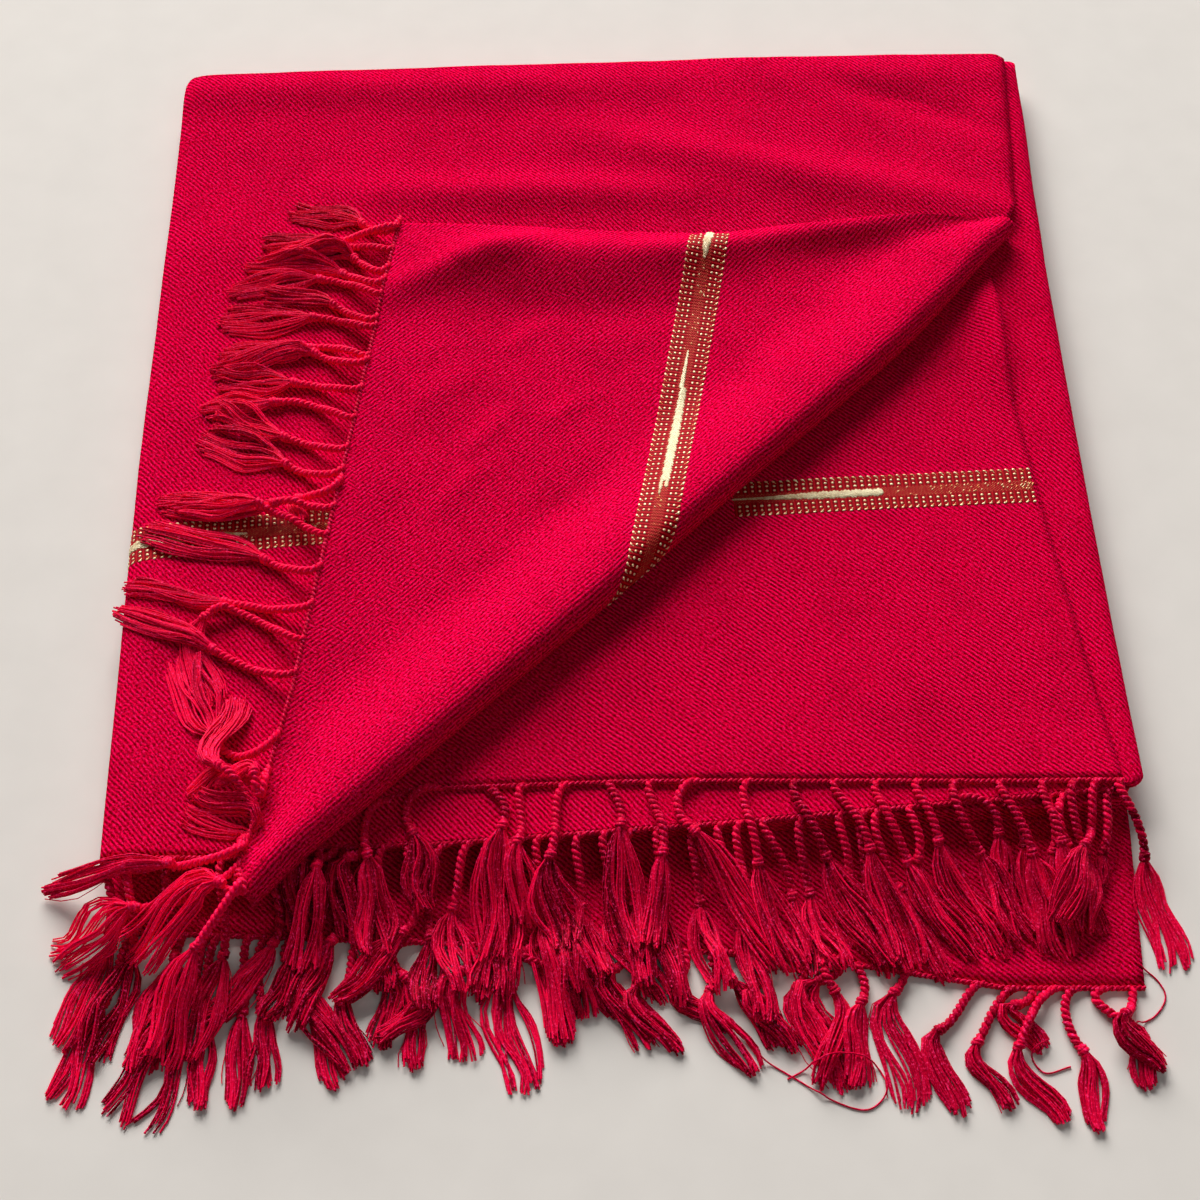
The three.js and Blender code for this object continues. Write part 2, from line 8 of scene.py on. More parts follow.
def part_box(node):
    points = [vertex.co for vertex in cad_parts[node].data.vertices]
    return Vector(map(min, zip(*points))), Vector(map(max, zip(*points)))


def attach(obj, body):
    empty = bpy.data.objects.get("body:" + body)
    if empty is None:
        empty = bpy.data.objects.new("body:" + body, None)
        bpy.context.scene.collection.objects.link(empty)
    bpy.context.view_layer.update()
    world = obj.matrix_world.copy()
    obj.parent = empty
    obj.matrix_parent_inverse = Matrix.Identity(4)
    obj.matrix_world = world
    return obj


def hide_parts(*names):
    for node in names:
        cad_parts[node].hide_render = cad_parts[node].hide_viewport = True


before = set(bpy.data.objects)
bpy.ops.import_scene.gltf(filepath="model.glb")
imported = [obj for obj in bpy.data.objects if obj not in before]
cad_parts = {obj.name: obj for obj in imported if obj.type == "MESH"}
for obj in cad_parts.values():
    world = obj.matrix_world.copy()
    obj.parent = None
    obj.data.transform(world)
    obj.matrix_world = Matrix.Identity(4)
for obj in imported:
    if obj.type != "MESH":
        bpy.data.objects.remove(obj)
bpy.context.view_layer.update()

# A crimson twill shawl, folded to a square, with one corner turned back over a soft diagonal roll.
# Sizes are in millimetres from the middle of the folded square; toFrame() turns them into the frame.
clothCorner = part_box("bottom_layer")[0]
toMiddle = (240, 342)  # from the near left corner of the lowest layer to the middle
planShift = np.array([clothCorner[0] * 1000 + toMiddle[0], clothCorner[1] * 1000 + toMiddle[1], 0.0])
pi = math.pi


def toFrame(points):
    return (np.asarray(points, float) + planShift) / 1000


# ---- camera ----
view = {"place": (-5.5, -746.6, 936.7), "down": 56.64, "lens": 66.0}
camera = bpy.data.objects.new("camera", bpy.data.cameras.new("camera"))
camera.location = toFrame(view["place"])
camera.rotation_euler = (math.radians(90 - view["down"]), 0, 0)
camera.data.lens = view["lens"]
camera.data.clip_start = 0.01
bpy.context.collection.objects.link(camera)
bpy.context.scene.camera = camera
bpy.context.scene.view_settings.view_transform = "Standard"
print("camera placed")


# ---- shader maths ----
class Wire:  # a node's output that takes part in Python expressions
    def __init__(self, tree, socket=None):
        self.tree, self.socket = tree, socket

    def node(self, kind, settings=None, sockets=None, output=0):
        made = self.tree.nodes.new(kind)
        for name, value in (settings or {}).items():
            setattr(made, name, value)
        for name, value in (sockets or {}).items():
            if isinstance(value, Wire):
                self.tree.links.new(value.socket, made.inputs[name])
            else:
                made.inputs[name].default_value = value
        return Wire(self.tree, made.outputs[output])

    def maths(self, operation, *values):
        return self.node("ShaderNodeMath", {"operation": operation}, dict(enumerate(values)))

    def __add__(self, other):
        return self.maths("ADD", self, other)

    def __sub__(self, other):
        return self.maths("SUBTRACT", self, other)

    def __rsub__(self, other):
        return self.maths("SUBTRACT", other, self)

    def __mul__(self, other):
        return self.maths("MULTIPLY", self, other)

    __radd__ = __add__
    __rmul__ = __mul__

    def cos(self):
        return self.maths("COSINE", self)

    def size(self):
        return self.maths("ABSOLUTE", self)

    def clamped(self):  # kept between 0 and 1
        return self.node("ShaderNodeClamp", None, {0: self})

    def smooth(self, low, high):
        return self.node("ShaderNodeMapRange", {"interpolation_type": "SMOOTHSTEP"},
                         {0: self, 1: low, 2: high})

    def colour(self, first, second):  # first at 0, second at 1
        return self.node("ShaderNodeMix", {"data_type": "RGBA"}, {0: self, 6: first, 7: second}, output=2)

    def noise(self, place, scale, detail=2.0, roughness=0.5):
        return self.node("ShaderNodeTexNoise", None,
                         {"Vector": place, "Scale": scale, "Detail": detail, "Roughness": roughness})

    def place(self, x, y):
        return self.node("ShaderNodeCombineXYZ", None, {0: x, 1: y})

    def ownPlace(self):  # the Object coordinates of the piece
        return self.node("ShaderNodeTexCoord", output=3)

    def number(self, name):  # an attribute of the mesh
        return self.node("ShaderNodeAttribute", {"attribute_name": name}, None, output=2)


def shade(code):  # a colour as seen on a screen, made linear
    parts = [int(code[k:k + 2], 16) / 255 for k in (0, 2, 4)]
    return tuple(c / 12.92 if c <= 0.04045 else ((c + 0.055) / 1.055) ** 2.4 for c in parts) + (1.0,)


def newMaterial(name, uniform):
    material = bpy.data.materials.new(name)
    material.use_nodes = True
    shader = material.node_tree.nodes["Principled BSDF"]
    for socket, value in uniform.items():
        shader.inputs[socket].default_value = value
    return material, Wire(material.node_tree), shader


def finish(wire, shader, colour, height=None, depth=0.0003, strength=1.0, roughness=None):
    wire.tree.links.new(colour.socket, shader.inputs["Base Color"])
    if roughness:
        wire.tree.links.new(roughness.socket, shader.inputs["Roughness"])
    if height:
        bump = wire.node("ShaderNodeBump", None, {"Height": height, "Distance": depth, "Strength": strength})
        wire.tree.links.new(bump.socket, shader.inputs["Normal"])


twillLook = {  # pitches, sway and wobble in millimetres of cloth, scales of noise per metre
    "ribPitch": 2.15, "ribTurn": math.radians(38), "yarnPitch": 1.08, "slipPitch": 1.1, "depth": 0.00032,
    "sway": 3.4, "swayScale": 40, "wobble": 0.35, "wobbleScale": 300, "slipScale": 150, "slipMost": 0.75,
    "grainScale": 560, "grainGain": 2.8, "grainStretch": 1.9, "glintScale": 640, "glintMost": 0.5,
    "fadeScale": 17, "patchScale": 26, "patchGain": 3.0, "patchMost": 0.3, "paintedHighlightMost": 0.42,
    # groove is painted shade in the grooves between ribs; light is a painted pink highlight on the crests,
    # and glint painted glints along them
    "plyShare": 0.16, "groove": shade("76000a"), "rib": shade("ff0032"), "light": shade("ff0870"),
    "glint": shade("ff2880"), "deep": shade("500004"),
}
# the right side with long even ribs, its reverse with broken ones, and the top layer's, with weaker ribs,
# more grain and a darker level
faceLook = {"slip": 0.6, "glint": 0.58, "rib": 0.64, "grain": 0.95, "level": 0.47}
backLook = {"slip": 0.49, "glint": 0.55, "rib": 0.54, "grain": 1.15, "level": 0.47}
topLook = {"slip": 0.55, "glint": 0.56, "rib": 0.56, "grain": 1.1, "level": 0.42}


def makeTwill(name, look):
    material, wire, shader = newMaterial(name, {
        "Roughness": 0.85, "Sheen Weight": 0.07, "Sheen Roughness": 0.4, "Sheen Tint": shade("f80038"),
        "Specular IOR Level": 0.0,
    })
    uv = wire.node("ShaderNodeUVMap", {"uv_map": "cloth"})
    u, v = (wire.node("ShaderNodeSeparateXYZ", None, {0: uv}, output=k) * 1000 for k in (0, 1))
    sine, cosine = math.sin(twillLook["ribTurn"]), math.cos(twillLook["ribTurn"])
    sway = (wire.noise(uv, twillLook["swayScale"], 2) - 0.5) * twillLook["sway"]
    wobble = (wire.noise(uv, twillLook["wobbleScale"], 2) - 0.5) * twillLook["wobble"]
    across = u * sine + v * cosine + sway + wobble
    along = u * cosine - v * sine + wobble
    crossing = u * sine - v * cosine + sway + wobble
    turnsPerMm = 2 * pi / twillLook["ribPitch"]
    straight = (across * turnsPerMm).cos() * 0.5 + 0.5
    slipped = (crossing * (turnsPerMm * twillLook["slipPitch"])).cos() * 0.5 + 0.5
    slips = wire.noise(uv, twillLook["slipScale"], 3, 0.6).smooth(look["slip"], look["slip"] + 0.16)
    slips = slips * twillLook["slipMost"]
    rib = straight * (1 - slips) + slipped * slips
    yarnTurns = along * (2 * pi / twillLook["yarnPitch"]) + across * (pi / twillLook["ribPitch"])
    ply = yarnTurns.cos() * 0.5 + 0.5
    lengthwise = wire.place(along * 0.001, across * (0.001 * twillLook["grainStretch"]))
    grain = (wire.noise(lengthwise, twillLook["grainScale"], 2, 0.7) - 0.5) * twillLook["grainGain"]
    height = rib * 0.55 + rib * ply * 0.25 + grain * 0.25
    clear = wire.noise(uv, twillLook["fadeScale"], 2).smooth(0.36, 0.6) * 0.55 + 0.6  # faded ribs in places
    # tone is partly painted shade: low in the grooves and where the yarn floats dip, high on the ribs, and
    # varied by grain
    tone = (rib - 0.5) * clear * look["rib"] + rib * ply * twillLook["plyShare"]
    tone = (tone + grain * look["grain"] + look["level"]).clamped()
    body = tone.colour(twillLook["groove"], twillLook["rib"])
    # painted highlight: the brightest crests turn towards the pink light colour
    body = (tone * tone * twillLook["paintedHighlightMost"]).colour(body, twillLook["light"])
    glint = wire.noise(lengthwise, twillLook["glintScale"], 1).smooth(look["glint"], look["glint"] + 0.08)
    body = (glint * (rib * 0.8 + 0.2) * twillLook["glintMost"]).colour(body, twillLook["glint"])
    patch = ((0.5 - wire.noise(uv, twillLook["patchScale"], 4, 0.65)) * twillLook["patchGain"]).clamped()
    body = (patch * twillLook["patchMost"]).colour(body, twillLook["deep"])
    finish(wire, shader, body, height, twillLook["depth"])
    return material


yarnLook = {
    # tip is painted glint: pink flecks of highlight where the mottle peaks
    "dark": shade("62000c"), "bright": shade("ff0848"), "tip": shade("ff3a84"), "mottleScale": 900,
}


def makeYarn():  # twisted cords and the loose yarns of the tassels
    material, wire, shader = newMaterial("silkyYarn", {
        "Roughness": 0.4, "Sheen Weight": 0.6, "Sheen Roughness": 0.45, "Sheen Tint": shade("ff0c48"),
        "Specular IOR Level": 0.08, "Specular Tint": shade("ff1c64"),
        "Subsurface Weight": 0.15, "Subsurface Scale": 0.0004, "Subsurface Radius": (1.0, 0.1, 0.2),
    })
    mottle = wire.noise(wire.ownPlace(), yarnLook["mottleScale"], 2, 0.6)
    body = (wire.number("tint") + (mottle - 0.5) * 1.1).clamped().colour(yarnLook["dark"], yarnLook["bright"])
    # painted glints: pink flecks of highlight where the mottle peaks
    body = (mottle.smooth(0.56, 0.67) * 0.8).colour(body, yarnLook["tip"])
    finish(wire, shader, body, mottle, strength=0.9, roughness=0.32 + mottle * 0.2)
    return material


goldLook = {
    # shadedGold is painted shade, the orange gold of yarn out of the light; top is cream as if lit
    "shadedGold": shade("e8842c"), "top": shade("fff0c0"), "varyScale": 260, "twistScale": 1700,
}
satinLook = {
    # shadedGold is painted shade on the satin; top is cream as if lit
    "shadedGold": shade("b47c34"), "top": shade("fff4c8"), "looseScale": 420, "pitch": 1.25,
}


def makeGold():  # the dots of the border: painted light and shade, cream as if lit and orange gold as painted shade, spread by noise and the pale mark
    material, wire, shader = newMaterial("goldWeft", {
        "Roughness": 0.48, "Metallic": 0.3, "Sheen Weight": 0.5, "Sheen Tint": shade("ffc880"),
        "Specular IOR Level": 0.5,
    })
    place = wire.ownPlace()
    vary = wire.noise(place, goldLook["varyScale"], 2, 0.6)
    twist = wire.noise(place, goldLook["twistScale"], 1)
    tone = ((vary - 0.5) * 2.2 + (twist - 0.5) * 1.2 + wire.number("pale")).clamped()
    finish(wire, shader, tone.colour(goldLook["shadedGold"], goldLook["top"]), twist, 0.0002, 0.7)
    return material


def makeSatin():  # long floats of cream yarn that meet in a herringbone
    material, wire, shader = newMaterial("creamSatin", {
        "Roughness": 0.45, "Metallic": 0.1, "Sheen Weight": 0.2, "Sheen Tint": shade("ffe2a0"),
        "Specular IOR Level": 0.5,
    })
    lean = wire.number("along") - wire.number("across").size() * 1.5
    loose = wire.noise(wire.ownPlace(), satinLook["looseScale"], 2, 0.6)
    floats = ((lean + loose * 1.4) * (2 * pi / satinLook["pitch"])).cos() * 0.5 + 0.5
    tone = (floats * 0.5 + (loose - 0.5) * 1.5 + wire.number("pale") - 0.15).clamped()
    # painted light and shade: the floats, noise and pale mark move the tone from shaded gold to lit cream
    finish(wire, shader, tone.colour(satinLook["shadedGold"], satinLook["top"]), floats, strength=0.8)
    return material


borderLook = {
    # under is painted shade, the dark between the weft floats
    "ground": shade("c00018"), "under": shade("6a0008"), "dull": shade("a60c1c"), "speck": shade("e89c62"),
    "middle": 2.9, "weftPitch": 1.9, "speckRun": 1.6, "speckAside": 1.3, "grainScale": 620,
}


def makeBorderGround():  # a plainer red, with a dull middle band that is flecked with gold
    material, wire, shader = newMaterial("borderGround", {
        "Roughness": 0.7, "Sheen Weight": 0.15, "Sheen Tint": shade("ff5060"), "Specular IOR Level": 0.2,
        "Specular Tint": shade("ff5060"),
    })
    offset, run = wire.number("across"), wire.number("along")
    grain = (wire.noise(wire.place(offset * 0.001, run * 0.001), borderLook["grainScale"], 2, 0.6) - 0.5) * 2
    middle = 1 - ((offset.size() - (borderLook["middle"] + grain * 0.8)) * 2 + 0.5).clamped()
    weft = (run * (2 * pi / borderLook["weftPitch"])).cos() * 0.5 + 0.5
    lozenge = (run * (2 * pi / borderLook["speckRun"])).cos()
    lozenge = lozenge * (offset * (2 * pi / borderLook["speckAside"])).cos()
    specks = (lozenge * 0.7 + grain * 0.7).smooth(0.25, 0.75)
    dull = (specks * 0.8).colour(borderLook["dull"], borderLook["speck"])
    # painted shade: the ground darkens between the weft floats
    plain = (weft * 0.75 + grain * 0.3 + 0.15).clamped().colour(borderLook["under"], borderLook["ground"])
    finish(wire, shader, middle.colour(plain, dull), weft * 0.5 + specks * middle * 0.5)
    return material


twill = makeTwill("crimsonTwill", faceLook)
twillBack = makeTwill("crimsonTwillBack", backLook)
twillTop = makeTwill("crimsonTwillTop", topLook)
yarn = makeYarn()
gold = makeGold()
satin = makeSatin()
borderGround = makeBorderGround()
print("materials made")

# ---- the cloth's form, as in the solids ----
cloth = 1.8
shellThick = 1.5
level = {"pileBase": 2.1, "pileTop": 13.65, "third": 14.25, "second": 16.35, "top": 18.45, "turned": 21.45}
crown = {"rise": 2, "reachX": 256, "reachY": 264}
settle = {"least": 16, "most": 56}
topPlan = {
    "left": {"y": [232, -60, -285], "x": [-251, -247, -239]},
    "rear": {"x": [-251, -60, 60, 236], "y": [232, 240, 247, 252]},
    "hem": {"x": [-239, -150], "y": [-285, -285]},
    "ends": (245, -285),
}
topSelvedge = {"y": [245, 158, 120], "x": [236, 232, 229]}
secondPlan = {
    "left": {"y": [236, -250], "x": [-241, -232]},
    "right": {"y": [236, 86, -15, -105, -244], "x": [204, 210, 214, 224, 242]},
    "rear": {"x": [-241, 204], "y": [223, 240]},
    "hem": {"x": [-232, -123, -95, 0, 242], "y": [-272, -260, -248, -244, -243]},
    "ends": (236, -250),
}
thirdPlan = {
    "left": {"y": [236, -260], "x": [-243, -235]},
    "right": {"y": [236, 86, -105, -260], "x": [243, 243, 248.5, 254]},
    "rear": {"x": [-243, 242], "y": [225, 245]},
    "hem": {"x": [-235, -85, 70, 213, 254], "y": [-279, -276, -263, -249, -244]},
    "ends": (236, -260),
}
bottomPlan = {
    "left": {"y": [236, -330], "x": [-240, -235]},
    "right": {"y": [236, -250, -330], "x": [236, 247, 243]},
    "rear": {"x": [-240, 236], "y": [224, 241]},
    "hem": {"x": [-235, -100, 41, 109, 180, 243], "y": [-314, -319, -324, -330, -342, -342]},
    "ends": (236, -330),
}
pilePlan = {"x": [-235.5, 250, 235.5, -247], "y": [-283, -254, 247, 229], "radius": [9, 18, 9, 9]}
roll = {
    "x": [-163, -146, -127, -100, -6, 67, 155, 208, 226],
    "y": [-309, -293, -275, -249, -156, -80, 10, 78, 101],
    "radius": [8.0, 9.0, 9.5, 9.8, 9.8, 9.6, 9.2, 8.0, 6.0], "sink": [7.0, 2.6, 0.2, 0, 0, 0, 0, 0, 0],
    "edgeX": [-172, -167, -161, -153, -133, -117, 56, 172, 217],
    "edgeY": [-300, -278, -245, -200, -35, 103, 96, 105, 106], "lift": [0, 0, 0, 0, 0, 1, 0, 4, 0],
}
cornerRow = 5  # the row of the roll whose edge point is the turned corner
planEnds = {"rear": 110, "hem": -150}  # past these the rear and the hem take over from straight rows


def mix(a, b, t):
    return a + (b - a) * t


def rowsOf(table):  # a table's rows, with the values in the order of its columns
    return zip(*table.values())


def unit(directions):
    return directions / np.linalg.norm(directions, axis=-1, keepdims=True)


def through(a, b, c, d, f):  # a smooth curve from b to c, led by a before them and d after
    return 0.5 * (2 * b + (c - a) * f + (2 * a - 5 * b + 4 * c - d) * f ** 2
                  + (3 * b - a - 3 * c + d) * f ** 3)


def easeIn(value, low, high):
    t = np.clip((value - low) / (high - low), 0, 1)
    return t * t * (3 - 2 * t)


def follow(table, key, of, value):  # a column of a table read at a value of another, run on past its ends
    at, to = np.array(table[key], float), np.array(table[of], float)
    if at[0] > at[-1]:
        at, to = at[::-1], to[::-1]
    low = to[0] + (value - at[0]) * (to[1] - to[0]) / (at[1] - at[0])
    high = to[-1] + (value - at[-1]) * (to[-1] - to[-2]) / (at[-1] - at[-2])
    return np.where(value < at[0], low, np.where(value > at[-1], high, np.interp(value, at, to)))


def rise(x, y):
    return (crown["rise"] * np.clip(1 - (x / crown["reachX"]) ** 4, 0, 1)
            * np.clip(1 - (y / crown["reachY"]) ** 4, 0, 1))


def wave(x, y, seed, length, height):  # soft unevenness of laid cloth
    draw = np.random.default_rng(seed)
    total = 0.0
    for _ in range(7):
        turn, phase = draw.uniform(0, 2 * pi, 2)
        stretch = draw.uniform(0.7, 1.7)
        total = total + np.sin(2 * pi * (x * np.cos(turn) + y * np.sin(turn)) * stretch / length + phase)
    return height * total / 3.5


def ridges(table, x, y):  # soft ridges along lines, and troughs where the height is below zero
    total = 0.0
    for x0, y0, x1, y1, width, height in rowsOf(table):
        dx, dy = x1 - x0, y1 - y0
        along = np.clip(((x - x0) * dx + (y - y0) * dy) / (dx * dx + dy * dy), 0, 1)
        off = ((x - x0) * dy - (y - y0) * dx) / math.hypot(dx, dy) / width
        total = total + height * np.sin(pi * along) * np.exp(-off * off)
    return total


def planPoint(plan, right, u, y, leftIn=0.0, rightIn=0.0):
    rear, hem = plan["ends"]
    x = mix(follow(plan["left"], "y", "x", y) + leftIn, right(y) - rightIn, u)
    toRear = np.clip((y - planEnds["rear"]) / (rear - planEnds["rear"]), 0, 1.1)
    toHem = np.clip((y - planEnds["hem"]) / (hem - planEnds["hem"]), 0, 1.1)
    moved = y + (follow(plan["rear"], "x", "y", x) - rear) * toRear
    return x, moved + (follow(plan["hem"], "x", "y", x) - hem) * toHem


def foldProfile(reach, half, turn, count):  # in from the edge, down, and arc length; row 0 is the lowest
    angle = np.linspace(0, turn * pi, count)
    inset, drop = reach * (1 - np.sin(angle)), half * (1 - np.cos(angle))
    arc = np.concatenate([[0], np.cumsum(np.hypot(np.diff(inset), np.diff(drop)))])
    return inset[::-1], drop[::-1], arc[::-1]


# ---- turning grids of points into cloth ----
def clothUv(uv, grain):  # grain: degrees of turn, whether it is mirrored, its start, and how coarse it is
    turn = math.radians(grain["turn"])
    x, y = uv[..., 0] * (-1 if grain["mirror"] else 1), uv[..., 1]
    return np.stack([x * math.cos(turn) - y * math.sin(turn) + grain["shift"],
                     x * math.sin(turn) + y * math.cos(turn)], axis=-1) / grain.get("coarse", 1.0) / 1000


def meshFrom(bm, name):
    mesh = bpy.data.meshes.new(name)
    bm.to_mesh(mesh)
    bm.free()
    return mesh


def gridMesh(name, grid, uv):  # columns to the right, rows to the rear
    rows, columns = grid.shape[:2]
    bm = bmesh.new()
    bmesh.ops.create_grid(bm, x_segments=columns - 1, y_segments=rows - 1, size=1.0)
    mesh = meshFrom(bm, name)
    where = np.empty(len(mesh.vertices) * 3)
    mesh.vertices.foreach_get("co", where)
    where = where.reshape(-1, 3)
    column = np.rint((where[:, 0] + 1) / 2 * (columns - 1)).astype(int)
    row = np.rint((where[:, 1] + 1) / 2 * (rows - 1)).astype(int)
    mesh.vertices.foreach_set("co", toFrame(grid[row, column]).ravel())
    layer = mesh.uv_layers.new(name="cloth")
    corners = np.empty(len(mesh.loops), int)
    mesh.loops.foreach_get("vertex_index", corners)
    layer.data.foreach_set("uv", uv[row, column][corners].ravel())
    mesh.shade_smooth()
    mesh.update()
    return mesh


def addPiece(name, mesh, materials, slot, *nodes):
    piece = bpy.data.objects.new(name, mesh)
    bpy.context.collection.objects.link(piece)
    for material in materials:
        mesh.materials.append(material)
    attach(piece, "root")
    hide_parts(*nodes)
    return piece


def addSheet(name, grid, uv, grain, node, side=twill):
    piece = addPiece(name, gridMesh(name, grid, clothUv(uv, grain)), [side], "twill", node)
    wall = piece.modifiers.new("wall", "SOLIDIFY")
    wall.thickness = shellThick / 1000
    wall.offset = -1
    return piece


# ---- the top layer ----
topRidges = {
    "x0": [-340, 0, -60, -180, 100, -235], "y0": [212, 224, 186, 132, 234, 120],
    "x1": [70, 330, 285, 100, 250, -150], "y1": [220, 232, 105, 131, 176, 60],
    "width": [15, 13, 16, 13, 9, 26], "height": [4.0, 1.8, 5.4, 4.6, -2.4, 1.2],
}
topSheet = {
    "grain": {"turn": 9, "mirror": False, "shift": 0, "coarse": 0.98}, "columns": 120, "rows": 130,
    "fold": (6.0, 5.2, 0.87, 13), "corner": 10, "easeOver": 18, "easeBy": 3.2, "rightEase": 8,
    "rightFrom": (118, 134), "calmHem": 30,
}


def rollRow(place):  # every column of the roll's table at places counted in rows
    place = np.asarray(place, float)
    last = len(roll["x"]) - 1
    k = np.clip(np.floor(place).astype(int), 0, last - 1)
    f = place - k
    made = {}
    for key, column in roll.items():
        value = np.array(column, float)
        b, c = value[k], value[k + 1]
        a = np.where(k > 0, value[np.maximum(k - 1, 0)], 2 * b - c)
        d = np.where(k + 2 <= last, value[np.minimum(k + 2, last)], 2 * c - b)
        made[key] = mix(b, c, f) if key.startswith("edge") else through(a, b, c, d, f)
    return made


def rollSection(t):
    last = len(roll["x"]) - 1
    row, before, after = rollRow(t * last), rollRow(t * last - 0.02), rollRow(t * last + 0.02)
    inX, inY = before["y"] - after["y"], after["x"] - before["x"]
    size = np.hypot(inX, inY)
    row["inX"], row["inY"] = inX / size, inY / size
    row["base"] = level["top"] + rise(row["x"], row["y"]) - row["sink"]
    return row


footRow = rollSection(np.linspace(1, 0, 97))
footIn = footRow["radius"] + 0.2
topRight = {"y": topSelvedge["y"] + list(footRow["y"] + footRow["inY"] * footIn),
            "x": topSelvedge["x"] + list(footRow["x"] + footRow["inX"] * footIn)}


def topHeight(x, y):
    near = np.clip((y - topPlan["ends"][1]) / topSheet["calmHem"], 0, 1)
    fromLeft = np.clip(1 - (x - follow(topPlan["left"], "y", "x", y)) / topSheet["easeOver"], 0, 1)
    fromRear = np.clip(1 - (follow(topPlan["rear"], "x", "y", x) - y) / topSheet["easeOver"], 0, 1)
    fromRight = np.clip(1 - (follow(topRight, "y", "x", y) - x) / topSheet["rightEase"], 0, 1)
    fromRight = fromRight * easeIn(y, *topSheet["rightFrom"])
    return (level["top"] + cloth + rise(x, y) + ridges(topRidges, x, y)
            + wave(x, y, 5, 120, 0.5) * near + wave(x, y, 6, 34, 0.1)
            - topSheet["easeBy"] * (fromLeft ** 2 + 0.5 * fromRear ** 2 + 0.8 * fromRight ** 2))


def topSurface(u, y, sideIn, sideDrop, rearIn, rearDrop):  # its two far corners are rounded
    corner = topSheet["corner"]
    right = lambda at: follow(topRight, "y", "x", at)
    x, py = planPoint(topPlan, right, u, y, sideIn)
    py = py - rearIn
    fromRear = corner - (follow(topPlan["rear"], "x", "y", x) - py)
    fromLeft = corner - (x - follow(topPlan["left"], "y", "x", py))
    fromRight = corner - (right(py) - x)
    rounded = lambda a, b: a - a * np.sqrt(np.clip(1 - b * b / (2 * corner ** 2), 0, 1))
    atLeft = (fromRear > 0) & (fromLeft > 0)
    atRight = (fromRear > 0) & (fromRight > 0) & ~atLeft
    moveX = (np.where(atLeft, rounded(fromLeft, fromRear), 0)
             - np.where(atRight, rounded(fromRight, fromRear), 0))
    moveY = (np.where(atLeft, rounded(fromRear, fromLeft), 0)
             + np.where(atRight, rounded(fromRear, fromRight), 0))
    drop = np.minimum(np.hypot(sideDrop, rearDrop), 2 * topSheet["fold"][1])
    x, py = x + moveX, py - moveY
    return np.stack([x, py, topHeight(x, py) - drop], axis=-1)


def topGrid():  # the sheet's points and its own flat coordinates
    inset, drop, arc = foldProfile(*topSheet["fold"])
    reach, bent = topSheet["fold"][0], len(inset)
    rear, hem = topPlan["ends"]
    flat = np.linspace(0, 1, topSheet["columns"])[1:]
    u = np.concatenate([np.zeros(bent), flat])
    sideIn = np.concatenate([inset, reach * (1 - flat)])
    sideDrop, sideArc = np.concatenate([drop, flat * 0]), np.concatenate([arc, flat * 0])
    flatRows = np.linspace(hem, rear - reach, topSheet["rows"])[:-1]
    y = np.concatenate([flatRows, np.full(bent, float(rear))])[:, None] + 0 * u
    rearIn, rearDrop, rearArc = (np.concatenate([0 * flatRows, part[::-1]])[:, None] + 0 * u
                                 for part in (inset, drop, arc))
    grid = topSurface(u + 0 * y, y, sideIn + 0 * y, sideDrop + 0 * y, rearIn, rearDrop)
    uv = grid[..., :2].copy()
    uv[..., 0] = np.where(sideArc > 0, follow(topPlan["left"], "y", "x", y) + reach - sideArc, uv[..., 0])
    uv[..., 1] = np.where(rearArc > 0, rear - reach + rearArc, uv[..., 1])
    return grid, uv


topData, topUv = topGrid()
topCloth = addSheet("topCloth", topData, topUv, topSheet["grain"], "top_layer", twillTop)
print("top layer laid")

# ---- the second layer, whose hem and selvedge show beside the roll ----
secondSheet = {
    "grain": {"turn": 2, "mirror": False, "shift": 640, "coarse": 0.97}, "columns": 120, "rows": 120,
    "raised": 7.0, "raisedFrom": (-28, 34), "raisedTo": (44, 78), "raisedOver": 14,
}


def secondHeight(x, y):  # its selvedge stands up a little where the roll pulls at it
    look = secondSheet
    toEdge = follow(secondPlan["right"], "y", "x", y) - x
    raised = look["raised"] * easeIn(y, *look["raisedFrom"]) * (1 - easeIn(y, *look["raisedTo"]))
    raised = raised * np.exp(-(toEdge / look["raisedOver"]) ** 2)
    return level["second"] + cloth + rise(x, y) + wave(x, y, 11, 150, 0.45) + wave(x, y, 12, 36, 0.1) + raised


def flatSheet(plan, look, height):
    right = lambda at: follow(plan["right"], "y", "x", at)
    u = np.linspace(0, 1, look["columns"])[None, :]
    y = np.linspace(plan["ends"][1], plan["ends"][0], look["rows"])[:, None]
    x, py = planPoint(plan, right, u + 0 * y, y + 0 * u)
    grid = np.stack([x, py, height(x, py)], axis=-1)
    return grid, grid[..., :2].copy()


secondData, secondUv = flatSheet(secondPlan, secondSheet, secondHeight)
secondCloth = addSheet("secondCloth", secondData, secondUv, secondSheet["grain"], "second_layer")

# ---- the third layer: it hangs a little over the open side ----
thirdSheet = {
    "grain": {"turn": 9, "mirror": False, "shift": 1300}, "columns": 90, "rows": 90,
    "side": (7.0, 3.4, 0.62, 9), "corner": 7,
}


def thirdHeight(x, y):
    return level["third"] + cloth + rise(x, y) + wave(x, y, 21, 120, 0.3) + wave(x, y, 22, 34, 0.1)


